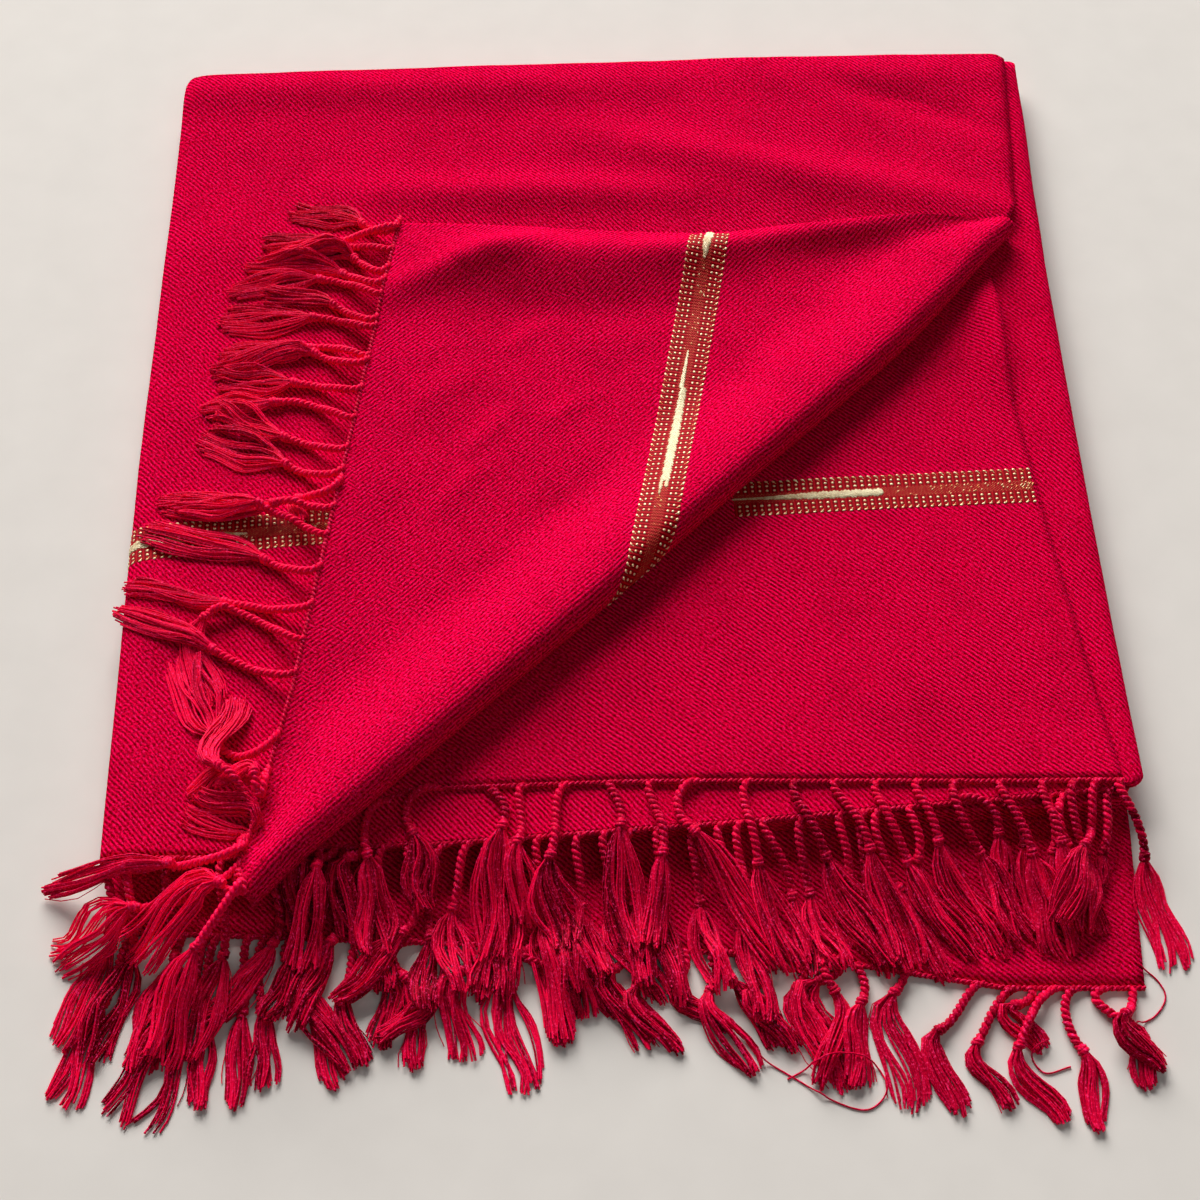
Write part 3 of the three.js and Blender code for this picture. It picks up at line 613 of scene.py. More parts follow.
def thirdGrid():
    inset, drop, arc = (part[::-1] for part in foldProfile(*thirdSheet["side"]))
    reach = thirdSheet["side"][0]
    flat = np.linspace(0, 1, thirdSheet["columns"])[:-1]
    u = np.concatenate([flat, np.ones(len(inset))])
    sideIn = np.concatenate([reach * flat, inset])
    sideDrop, sideArc = np.concatenate([flat * 0, drop]), np.concatenate([flat * 0, arc])
    rear, hem = thirdPlan["ends"]
    corner = thirdSheet["corner"]
    nearRows = np.linspace(hem, hem + corner, 10)[:-1]
    y = np.concatenate([nearRows, np.linspace(hem + corner, rear, thirdSheet["rows"])])[:, None] + 0 * u
    toHem = np.clip(1 - (y - hem) / corner, 0, 1)
    sideIn = sideIn + corner * (1 - np.sqrt(1 - toHem ** 2))
    right = lambda at: follow(thirdPlan["right"], "y", "x", at)
    x, py = planPoint(thirdPlan, right, u + 0 * y, y, 0.0, sideIn)
    wander = wave(py, py * 0, 23, 90, 0.3) * np.clip(sideArc / 5, 0, 1)
    grid = np.stack([x + wander, py, thirdHeight(x, py) - sideDrop], axis=-1)
    uv = grid[..., :2].copy()
    uv[..., 0] = np.where(sideArc > 0, right(y) - reach + sideArc, uv[..., 0])
    return grid, uv


thirdData, thirdUv = thirdGrid()
thirdCloth = addSheet("thirdCloth", thirdData, thirdUv, thirdSheet["grain"], "third_layer")

# ---- the bottom layer, flat on the table ----
bottomSheet = {"grain": {"turn": 4, "mirror": False, "shift": 2100}, "columns": 84, "rows": 84}


def bottomHeight(x, y):
    return 1.7 + np.abs(wave(x, y, 31, 60, 0.25)) + 0 * x


bottomData, bottomUv = flatSheet(bottomPlan, bottomSheet, bottomHeight)
bottomCloth = addSheet("bottomCloth", bottomData, bottomUv, bottomSheet["grain"], "bottom_layer")
print("lower sheets laid")

# ---- the hidden folds between them, seen as rounded edges round the sides ----
pileLook = {
    "lobes": 3, "lobeHeight": 3.85, "groove": 3.4, "steps": 8, "wander": 0.7, "lip": 0.35, "sideSteps": 62,
    "cornerSteps": 9, "over": (2.4, 7, 14), "grain": {"turn": 4, "mirror": False, "shift": 2900},
}


def pileRing(inset):  # a ring round the pile, in from its outline, with rounded corners
    corner = np.stack([pilePlan["x"], pilePlan["y"]], axis=-1).astype(float)
    arcs = []
    for k in range(4):
        radius = max(pilePlan["radius"][k] - inset * 0.6, 1.0)
        before, after = unit(corner[k - 1] - corner[k]), unit(corner[(k + 1) % 4] - corner[k])
        centre = corner[k] + (before + after) * (inset + radius)
        arcs.append([centre - after * radius * math.cos(f) - before * radius * math.sin(f)
                     for f in np.linspace(0, pi / 2, pileLook["cornerSteps"])])
    ring = []
    for k in range(4):
        side = np.linspace(0, 1, pileLook["sideSteps"])[1:-1]
        ring += arcs[k] + [mix(arcs[k][-1], arcs[(k + 1) % 4][0], f) for f in side]
    return np.array(ring + ring[:1])


def pileGrid():
    rows, uvRows, down = [], [], 0.0
    outline = pileRing(0)
    around = np.concatenate([[0], np.cumsum(np.linalg.norm(np.diff(outline, axis=0), axis=1))])
    for lobe in range(pileLook["lobes"]):
        low = level["pileBase"] + lobe * pileLook["lobeHeight"]
        loose = pileLook["wander"] * (1 + wave(outline[:, 0], outline[:, 1], 41 + lobe, 80, 1.0)) / 2
        for s in np.linspace(0, 1, pileLook["steps"], endpoint=False):
            lip = pileLook["lip"] * math.exp(-((s - 0.5) / 0.12) ** 2)
            inset = pileLook["groove"] * (1 - math.sin(pi * s)) ** 1.5 + lip if lobe or s else 2.0
            ring = pileRing(inset)
            edge = ring + (pileRing(inset + 1) - ring) * np.clip(loose, 0, 1.4)[:, None]
            height = low + pileLook["lobeHeight"] * (1 - math.cos(pi * s)) / 2
            rows.append(np.column_stack([edge, np.full(len(edge), height)]))
            uvRows.append(np.column_stack([around, np.full(len(edge), down)]))
            down += 0.8
    for inset in pileLook["over"]:  # over its top, past a small lip
        ring = pileRing(inset)
        height = level["pileTop"] + (rise(ring[:, 0], ring[:, 1]) if inset > 5 else -0.3 + 0 * around)
        rows.append(np.column_stack([ring, height]))
        down += 3
        uvRows.append(np.column_stack([around, np.full(len(ring), down)]))
    return np.array(rows), np.array(uvRows)


pileData, pileUv = pileGrid()
mesh = gridMesh("foldedPlies", pileData, clothUv(pileUv, pileLook["grain"]))
bm = bmesh.new()
bm.from_mesh(mesh)
bmesh.ops.remove_doubles(bm, verts=bm.verts, dist=1e-6)
bmesh.ops.holes_fill(bm, edges=[e for e in bm.edges if e.is_boundary], sides=0)
bmesh.ops.recalc_face_normals(bm, faces=bm.faces)
bm.to_mesh(mesh)
bm.free()
foldedPlies = addPiece("foldedPlies", mesh, [twill], "twill", "lower_stack")
print("hidden folds made")

# ---- the turned corner ----
turnedSheet = {
    "grain": {"turn": 8, "mirror": True, "shift": 3700, "coarse": 0.95}, "rows": 161, "rollSteps": 22,
    "faceSteps": 100, "raised": 5.0, "raisedUntil": (0.5, 0.75),
}
turnedRidges = {
    "x0": [-145, -125, 10, -130, -90, -60, -78, -40, -96, -110],
    "y0": [42, 84, 80, 68, 44, 10, -60, -40, -100, -30],
    "x1": [-25, 115, 238, 75, 80, -30, -48, 2, -60, -60], "y1": [96, 79, 112, 66, 42, 36, -22, -8, -58, 6],
    "width": [10, 14, 10, 20, 14, 6, 6, 6, 7, 9],
    "height": [5.5, 6.5, 6.5, 5.5, -1.4, 1.2, 1.2, 1.0, 1.1, 1.2],
}


def turnedSurface(t, c):  # outer face; c from 0 to 1 goes up round the roll, and from 1 to 2 on to the edge
    row = rollSection(t)
    arc = pi * np.minimum(c, 1)
    inset = row["radius"] * (1 - np.sin(arc))
    topX, topY = row["x"] + row["inX"] * inset, row["y"] + row["inY"] * inset
    rollZ = row["base"] + row["radius"] * (1 - np.cos(arc))
    k = np.maximum(c - 1, 0)
    px, py = mix(topX, row["edgeX"], k), mix(topY, row["edgeY"], k)
    span = np.hypot(row["edgeX"] - topX, row["edgeY"] - topY)
    down = (1 + np.cos(pi * np.clip(k * span / np.clip(span, settle["least"], settle["most"]), 0, 1))) / 2
    lift = row["lift"] + turnedSheet["raised"] * (1 - easeIn(t, *turnedSheet["raisedUntil"]))
    laid = (level["turned"] + cloth + rise(px, py) + lift * k ** 3 + ridges(turnedRidges, px, py)
            + wave(px, py, 51, 95, 0.5) + wave(px, py, 52, 30, 0.12))
    z = np.where(c <= 1, rollZ, mix(laid, row["base"] + 2 * row["radius"], down))
    z = z + np.where(c <= 1, 0, wave(px, py, 53, 60, 0.25) * np.minimum(k * 6, 1))
    past = row["radius"] * pi * np.maximum(1 - c, 0)  # cloth still to come before the top of the roll
    flatX = np.where(c < 1, row["x"] + row["inX"] * (row["radius"] - past), px)
    flatY = np.where(c < 1, row["y"] + row["inY"] * (row["radius"] - past), py)
    return np.stack([px, py, z], axis=-1), np.stack([flatX, flatY], axis=-1)


turnedT = np.linspace(0, 1, turnedSheet["rows"])[:, None]
turnedC = np.concatenate([1 + np.linspace(1, 0, turnedSheet["faceSteps"] + 1)[:-1],
                          np.linspace(1, 0, turnedSheet["rollSteps"] + 1)])[None, :]
turnedT, turnedC = turnedT + 0 * turnedC, turnedC + 0 * turnedT
turnedData, turnedUv = turnedSurface(turnedT, turnedC)
turnedCloth = addSheet("turnedCloth", turnedData, turnedUv, turnedSheet["grain"], "turned_corner", twillBack)
print("corner turned back")

# ---- the woven border, where it shows on three stretches ----
borderSize = {
    "half": 11.3, "columns": 25, "step": 1.5, "lift": 0.14, "thick": 0.4, "tuck": 0.3, "dotPitch": 3.8,
    "dashStep": 0.5, "dashHigh": 0.42, "dashColumns": 9, "dashRound": 1.6, "floatPitch": 1.9,
    "speck": (0.36, 0.8, 0.3, 50, 0.5), "speckAside": 3.0,
}
borderMarks = ("across", "along", "pale")  # attributes that its materials read
dotFigure = {  # one figure of dots beside the middle: its place, half sizes in mm, lean in degrees and colour
    "aside": [4.7, 7.4, 10.2, 9.2], "ahead": [0, 0.05, 0.1, 0.9], "long": [0.85, 0.82, 1.05, 0.7],
    "wide": [0.72, 0.7, 0.6, 0.24], "high": [0.33, 0.33, 0.3, 0.11], "lean": [0, 6, 24, 52],
    "pale": [1.0, 0.95, 0.75, 0.4],
}


def topAt(x, y):  # the top layer, where x runs on round the left fold
    inset, drop, arc = (part[::-1] for part in foldProfile(*topSheet["fold"]))
    left = follow(topPlan["left"], "y", "x", y)
    past = np.maximum(left + topSheet["fold"][0] - x, 0)
    x = np.where(past > 0, left + np.interp(past, arc, inset), x)
    return np.stack([x, y, topHeight(x, y) - np.interp(past, arc, drop)], axis=-1)


def secondAt(x, y):
    return np.stack([x, y, secondHeight(x, y)], axis=-1)


turnedTree = kdtree.KDTree(turnedUv.size // 2)
for k, (x, y) in enumerate(turnedUv.reshape(-1, 2)):
    turnedTree.insert((x, y, 0), k)
turnedTree.balance()


def turnedPlace(x, y):  # t and c of a point of the corner while it was flat, by a few Newton steps
    x, y = np.broadcast_arrays(np.asarray(x, float), np.asarray(y, float))
    near = np.array([turnedTree.find((a, b, 0))[1] for a, b in zip(x.ravel(), y.ravel())]).reshape(x.shape)
    t, c, small = turnedT.ravel()[near], turnedC.ravel()[near], 0.001
    for _ in range(6):
        flat = turnedSurface(t, c)[1]
        byT = (turnedSurface(t + small, c)[1] - flat) / small
        byC = (flat - turnedSurface(t, c - small)[1]) / small
        offX, offY = x - flat[..., 0], y - flat[..., 1]
        scale = byT[..., 0] * byC[..., 1] - byT[..., 1] * byC[..., 0]
        t = np.clip(t + np.clip((offX * byC[..., 1] - offY * byC[..., 0]) / scale, -0.05, 0.05), 0, 1)
        c = np.clip(c + np.clip((byT[..., 0] * offY - byT[..., 1] * offX) / scale, -0.2, 0.2), 0, 2)
    return t, c


def turnedAt(x, y):
    return turnedSurface(*turnedPlace(x, y))[0]


def along(line, run, aside):  # places in plan, run millimetres along a line and aside from it
    (x, y), (wayX, wayY) = line["start"], unit(np.array(line["way"], float))
    return x + wayX * run + wayY * aside, y + wayY * run - wayX * aside


def framesOn(surface, run, aside):  # points on the cloth, with the directions across, along and out of it
    here, small = surface(run, aside), 0.3
    across = surface(run, aside + small) - surface(run, aside - small)
    out = unit(np.cross(across, surface(run + small, aside) - surface(run - small, aside)))
    return here, unit(across), np.cross(out, unit(across)), out


def addPatch(bm, surface, run, aside, lift, pale, material):
    here, _, _, out = framesOn(surface, run, aside)
    place = toFrame(here + out * lift[..., None])
    rows, columns = run.shape
    layers = [bm.verts.layers.float[name] for name in borderMarks]
    verts = bmesh.ops.create_grid(bm, x_segments=columns - 1, y_segments=rows - 1, size=1.0)["verts"]
    for vert in verts:
        at = round((vert.co.y + 1) / 2 * (rows - 1)), round((vert.co.x + 1) / 2 * (columns - 1))
        for layer, values in zip(layers, (aside, run, pale)):
            vert[layer] = values[at]
        vert.co = place[at]
    for face in {face for vert in verts for face in vert.link_faces}:
        face.material_index = material


def finished(holder):  # the mesh that an object's curve or modifiers make
    bpy.context.collection.objects.link(holder)
    bpy.context.view_layer.update()
    mesh = bpy.data.meshes.new_from_object(holder.evaluated_get(bpy.context.evaluated_depsgraph_get()))
    bpy.data.objects.remove(holder)
    return mesh


def inOrder(bm):  # an operator's points and faces, in the same order in every run
    for parts, placeOf in ((bm.verts, lambda vert: vert.co[:]),
                           (bm.faces, lambda face: face.calc_center_median()[:])):
        ranks = np.argsort(np.lexsort(np.round([placeOf(part) for part in parts], 6).T))
        parts.index_update()
        parts.sort(key=lambda part: float(ranks[part.index]))


def dotsOn(surface, dots, draw):  # beads, one for each row of run, aside, wide, long, high, lean and pale
    bm = bmesh.new()
    bmesh.ops.create_uvsphere(bm, u_segments=6, v_segments=4, radius=1.0)
    inOrder(bm)
    ball = np.array([vert.co[:] for vert in bm.verts])
    holder = bpy.data.objects.new("bead", meshFrom(bm, "bead"))
    copies = holder.modifiers.new("copies", "ARRAY")
    copies.count, copies.use_relative_offset = len(dots), False
    mesh = finished(holder)
    run, aside, wide, long, high, lean, pale = np.array(dots).T
    here, across, ahead, out = framesOn(surface, run, aside)
    turn = (np.radians(lean) + draw.uniform(-0.15, 0.15, len(run)))[:, None]
    size = draw.uniform(0.86, 1.14, (len(run), 3)) * np.stack([wide, long, high], axis=-1)
    axes = [across * np.cos(turn) + ahead * np.sin(turn), ahead * np.cos(turn) - across * np.sin(turn), out]
    axes = np.stack(axes, axis=1) * size[..., None]
    beads = np.einsum("va,nax->nvx", ball, axes) + (here + out * borderSize["lift"])[:, None, :]
    mesh.vertices.foreach_set("co", toFrame(beads).ravel())
    pale = pale + draw.uniform(-0.25, 0.2, len(run))
    return mesh, [np.repeat(values, len(ball)) for values in (aside, run, pale)]


def weaveBorder(name, at, line, starts, ends, dashes, specks, seed, node):
    # starts and ends: how far along the line the border begins and stops, for a place aside from it
    surface = lambda run, aside: at(*along(line, run, aside))
    draw = np.random.default_rng(seed)
    bm = bmesh.new()
    for layer in borderMarks:
        bm.verts.layers.float.new(layer)
    aside = np.linspace(-borderSize["half"], borderSize["half"], borderSize["columns"])[None, :]
    rows = int((ends(0.0) - starts(0.0)) / borderSize["step"])
    run = mix(starts(aside), ends(aside), np.linspace(0, 1, rows)[:, None])
    lift = np.full(run.shape, borderSize["lift"])
    lift[[0, -1], :] = lift[:, [0, -1]] = -borderSize["tuck"]
    addPatch(bm, surface, run, aside + 0 * run, lift, run * 0, 0)
    for start, stop, middle, halfIn, halfMid, halfOut, paleIn, paleOut in rowsOf(dashes):
        t = np.linspace(0, 1, int((stop - start) / borderSize["dashStep"]) + 1)[:, None]
        v = np.linspace(-1, 1, borderSize["dashColumns"])[None, :]
        run = mix(start, stop, t) + 0 * v
        floats = 2 * pi * run / borderSize["floatPitch"]
        ragged = 1 + 0.14 * np.cos(floats + 0.8 * v) + 0.12 * np.sin(run * 1.1 + v)
        width = np.interp(t, [0, 0.5, 1], [halfIn, halfMid, halfOut]) * ragged
        fromEnd = np.minimum(run - start, stop - run)
        width = width * np.sqrt(np.clip(fromEnd / borderSize["dashRound"], 0.02, 1))
        relief = np.cos(2 * pi * (run - np.abs(v) * width * 1.2) / borderSize["floatPitch"])
        lift = (borderSize["dashHigh"] + 0.09 * relief) * (1 - v ** 4) - borderSize["tuck"] * np.abs(v) ** 8
        lift = borderSize["lift"] + lift
        lift[[0, -1], :] = -0.2
        addPatch(bm, surface, run, middle + v * width, lift, mix(paleIn, paleOut, t) + 0 * v, 2)
    bmesh.ops.solidify(bm, geom=bm.faces[:], thickness=borderSize["thick"] / 1000)
    bmesh.ops.recalc_face_normals(bm, faces=bm.faces[:])
    inOrder(bm)
    marks = [[vert[bm.verts.layers.float[mark]] for vert in bm.verts] for mark in borderMarks]
    dots = []
    for place, ahead, long, wide, high, lean, pale in rowsOf(dotFigure):
        for side in (-1, 1):
            run = np.arange(-10, 80) * borderSize["dotPitch"] + ahead
            run = run[(run > starts(side * place) + 1.0) & (run < ends(side * place) - 1.0)]
            run = run + draw.uniform(-0.15, 0.15)
            dots.extend((one, side * place + draw.uniform(-0.1, 0.1), wide, long, high, side * lean, pale)
                        for one in run)
    for start, stop, count in specks:
        speckAside = borderSize["speckAside"]
        dots.extend((draw.uniform(start, stop), draw.uniform(-speckAside, speckAside), *borderSize["speck"])
                    for _ in range(count))
    beads, beadMarks = dotsOn(surface, dots, draw)
    bm.from_mesh(beads)
    bm.faces.ensure_lookup_table()
    for face in bm.faces[len(bm.faces) - len(beads.polygons):]:
        face.material_index = 1
    mesh = meshFrom(bm, name)
    for mark, flat, bead in zip(borderMarks, marks, beadMarks):
        mesh.attributes[mark].data.foreach_set("value", np.concatenate([flat, bead]))
    mesh.shade_smooth()
    return addPiece(name, mesh, [borderGround, gold, satin], "border", node)


def straight(run):  # an end of the border that lies square to it
    return lambda aside: run + 0.0 * aside


topLine = {"start": (-254.0, -110.6), "way": (1, 0.1)}
secondLine = {"start": (62.0, -81.6), "way": (156.3, 10.2)}
turnedLine = {"start": (55.9, 97.0), "way": (-0.1595, -0.987)}
topDashes = {  # the satin dashes in the middle of the border: their ends, half widths in mm and colour
    "from": [1, 27, 62], "to": [31, 64, 70], "aside": [0, 0, 0], "halfIn": [2.6, 2.7, 1.6],
    "halfMid": [3.0, 2.6, 0.9], "halfOut": [2.6, 1.6, 0.6], "paleIn": [0.55, 0.1, 0.5],
    "paleOut": [0.5, 0.0, 0.8],
}
secondDashes = {
    "from": [0, 14], "to": [17, 79], "aside": [0, 0], "halfIn": [0.5, 0.8], "halfMid": [0.6, 2.7],
    "halfOut": [0.8, 2.6], "paleIn": [0.3, 0.3], "paleOut": [0.4, 0.85],
}
turnedDashes = {
    "from": [0.5, 8, 84, 110, 178, 177], "to": [10, 24, 112, 181, 186, 191],
    "aside": [0, 0.4, 0.6, -0.5, -1.6, 1.2], "halfIn": [2.6, 2.8, 0.5, 2.0, 1.3, 1.2],
    "halfMid": [2.7, 2.4, 1.1, 2.9, 1.2, 1.1], "halfOut": [2.9, 0.8, 1.6, 2.6, 1.0, 0.5],
    "paleIn": [1.0, 0.5, 0.9, 0.95, 0.7, 0.7], "paleOut": [0.9, 0.4, 0.9, 0.9, 0.7, 0.5],
}


def turnedReach(c):  # how far along its line the border meets a given c, for a place aside from it
    run = np.linspace(-14, 262, 139)
    sides = np.array([-borderSize["half"], 0, borderSize["half"]])
    found = [np.interp(-c, -turnedPlace(*along(turnedLine, run, side))[1], run) for side in sides]
    return lambda aside: np.interp(aside, sides, found)


# specks: from, to and how many
borderTop = weaveBorder("borderOfTop", topAt, topLine, straight(0.0), straight(280.0), topDashes,
                        [(64, 100, 14), (98, 114, 22)], 61, "stripe_top")
borderSecond = weaveBorder("borderOfSecond", secondAt, secondLine, straight(0.0), straight(157.5),
                           secondDashes, [(80, 142, 30), (140, 157, 26)], 62, "stripe_second")
borderTurned = weaveBorder("borderOfTurned", turnedAt, turnedLine, turnedReach(1.985), turnedReach(0.1),
                           turnedDashes, [(22, 84, 20), (186, 200, 8)], 63, "stripe_turned")
print("borders woven")

# ---- fringes: twisted cords, knots and loose tassels, each laid on what is already under it ----
yarnSize = {"ply": 1.22, "plyOff": 1.12, "turn": 6.0, "hemPly": 0.8, "hemOff": 0.68, "hemTurn": 5.0}
knotSize = {
    "yarn": 1.28, "ring": 1.75, "turns": 2.3, "length": 3.9, "slant": 0.8, "core": 1.7, "ahead": 2.0,
    "toTassel": 2.2, "clear": 3.2,
}
tasselSize = {
    "strand": 0.47, "strands": 41, "strays": 3, "strayShare": 0.55, "points": 8, "neck": 3.6, "opens": 0.2,
    "narrows": 0.16, "wander": 0.34, "strayWander": 1.8, "locks": (4, 7), "swing": (0.05, 0.13),
    "swingTurn": (3.5, 7.5), "shift": 0.1, "heap": 30, "heapLeast": 0.8, "heapMost": 4.5, "clear": 1.2,
}
pileUp = {"cell": 1.0, "left": -300, "front": -450, "width": 600, "depth": 740}


class Ground:  # height of whatever lies on the table so far, in cells of a millimetre
    def __init__(self):
        self.height = np.zeros((pileUp["depth"], pileUp["width"]))

    def cells(self, x, y):
        column = np.clip(np.rint((x - pileUp["left"]) / pileUp["cell"]).astype(int), 3, pileUp["width"] - 4)
        row = np.clip(np.rint((y - pileUp["front"]) / pileUp["cell"]).astype(int), 3, pileUp["depth"] - 4)
        return row, column

    def stamp(self, points, radius):
        row, column = self.cells(points[..., 0].ravel(), points[..., 1].ravel())
        z = points[..., 2].ravel()
        reach = range(-int(radius), int(radius) + 1)
        for dy in reach:
            for dx in reach:
                inside = radius * radius - dx * dx - dy * dy
                if inside >= 0:
                    np.maximum.at(self.height, (row + dy, column + dx), z + math.sqrt(inside))

    def cover(self, grid):  # a sheet, filled in between its points
        for _ in range(6):  # three times each way
            order = np.argsort(np.concatenate([np.arange(len(grid)), np.arange(len(grid) - 1) + 0.5]))
            grid = np.concatenate([grid, (grid[1:] + grid[:-1]) / 2])[order].transpose(1, 0, 2)
        self.stamp(grid, 0)

    def under(self, x, y, reach):
        row, column = self.cells(x, y)
        best = self.height[row, column]
        for dy, dx in ((-reach, 0), (reach, 0), (0, -reach), (0, reach)) if reach else ():
            best = np.maximum(best, self.height[row + dy, column + dx])
        return best


def settleOn(xy, under, startZ, bend, steepest, climb, passes):
    # heights of soft lines (..., points, 2) that start at startZ and come down on what is under them
    step = np.linalg.norm(np.diff(xy, axis=-2), axis=-1)
    z = np.empty(under.shape)
    z[..., 0] = startZ
    slope = np.zeros(under.shape[:-1])
    for i in range(1, under.shape[-1]):
        slope = np.minimum(slope + bend * step[..., i - 1], steepest)
        low = z[..., i - 1] - slope * step[..., i - 1]
        z[..., i] = np.maximum(low, under[..., i])
        slope = np.where(low < under[..., i], np.minimum(slope, 0.15), slope)
    for i in range(under.shape[-1] - 2, 0, -1):
        z[..., i] = np.maximum(z[..., i], z[..., i + 1] - climb * step[..., i])
    for _ in range(passes):
        z[..., 1:-1] = np.maximum((z[..., :-2] + 2 * z[..., 1:-1] + z[..., 2:]) / 4, under[..., 1:-1])
    return z


def bezier(points, t):
    t = np.asarray(t)[:, None]
    a, b, c, d = (np.array(p, float) for p in points)
    return a * (1 - t) ** 3 + 3 * b * t * (1 - t) ** 2 + 3 * c * t * t * (1 - t) + d * t ** 3


def evenly(path, step):
    length = np.concatenate([[0], np.cumsum(np.linalg.norm(np.diff(path, axis=0), axis=1))])
    count = max(int(round(length[-1] / step)), 3) + 1
    at = np.linspace(0, length[-1], count)
    return np.column_stack([np.interp(at, length, path[:, k]) for k in range(path.shape[1])]), length[-1]


def frames(path):  # sideways and upward directions along a line
    ahead = np.gradient(path, axis=0)
    ahead /= np.linalg.norm(ahead, axis=1)[:, None] + 1e-9
    side = np.cross(ahead, [0, 0, 1.0])
    side /= np.linalg.norm(side, axis=1)[:, None] + 1e-9
    return side, np.cross(side, ahead)


class Yarns:  # collects lines with their thickness, and makes them one mesh of tubes
    def __init__(self):
        self.thick, self.fine = [], []

    def add(self, points, radius, tint, fine=False):
        (self.fine if fine else self.thick).append((points, np.broadcast_to(radius, len(points)), tint))

    def tubes(self, name, lines, rounding):
        curve = bpy.data.curves.new(name, "CURVE")
        curve.dimensions = "3D"
        curve.bevel_depth = 0.001
        curve.bevel_resolution = rounding
        curve.use_fill_caps = True
        for points, radius, _ in lines:
            spline = curve.splines.new("POLY")
            spline.points.add(len(points) - 1)
            spline.points.foreach_set("co", np.column_stack([toFrame(points), np.ones(len(points))]).ravel())
            spline.points.foreach_set("radius", radius.astype(float))
        mesh = finished(bpy.data.objects.new(name, curve))
        bpy.data.curves.remove(curve)
        around = 4 + 2 * rounding
        return mesh, [np.full(len(points) * around, tint) for points, _, tint in lines]

    def mesh(self, name):
        bm, tints = bmesh.new(), []
        for lines, rounding in ((self.thick, 1), (self.fine, 0)):
            if lines:
                part, values = self.tubes(name + "Lines", lines, rounding)
                bm.from_mesh(part)
                tints += values
        made = meshFrom(bm, name)
        layer = made.attributes.new("tint", "FLOAT", "POINT")
        layer.data.foreach_set("value", np.resize(np.concatenate(tints), len(made.vertices)))
        made.shade_smooth()
        return made


def twisted(yarns, path, ply, off, turn, tint, phase=0.0, swell=None):  # a two-ply cord along a line
    line, length = evenly(path, turn / 8)
    side, up = frames(line)
    angle = np.linspace(0, 2 * pi * length / turn, len(line)) + phase
    size = np.ones(len(line)) if swell is None else np.interp(np.linspace(0, 1, len(line)), *swell)
    for half in (0, pi):
        ring = side * np.cos(angle + half)[:, None] + up * np.sin(angle + half)[:, None]
        yarns.add(line + ring * (off * size)[:, None], ply * size, tint + 0.06 * math.cos(half))


def knot(yarns, middle, ahead, draw, tint):  # two slanting wraps pulled tight round the cord
    ahead = ahead / np.linalg.norm(ahead)
    side = np.cross(ahead, [0, 0, 1.0])
    side /= np.linalg.norm(side) + 1e-9
    up = np.cross(side, ahead)
    t = np.linspace(0, 1, 29)
    angle = 2 * pi * knotSize["turns"] * t + draw.uniform(0, 6)
    ring = knotSize["ring"] * np.sin(pi * (t * 0.84 + 0.08)) ** 0.4
    place = (t - 0.5) * knotSize["length"] + knotSize["slant"] * np.sin(angle + 0.8)
    yarns.add(middle + ahead * place[:, None] + side * (ring * np.cos(angle))[:, None]
              + up * (ring * np.sin(angle))[:, None], knotSize["yarn"], tint)
    core = np.linspace(-3.0, 3.4, 7)[:, None]
    yarns.add(middle + ahead * core, knotSize["core"] + 0.4 * np.cos(core[:, 0] / 3.0 * pi / 2), tint - 0.15)


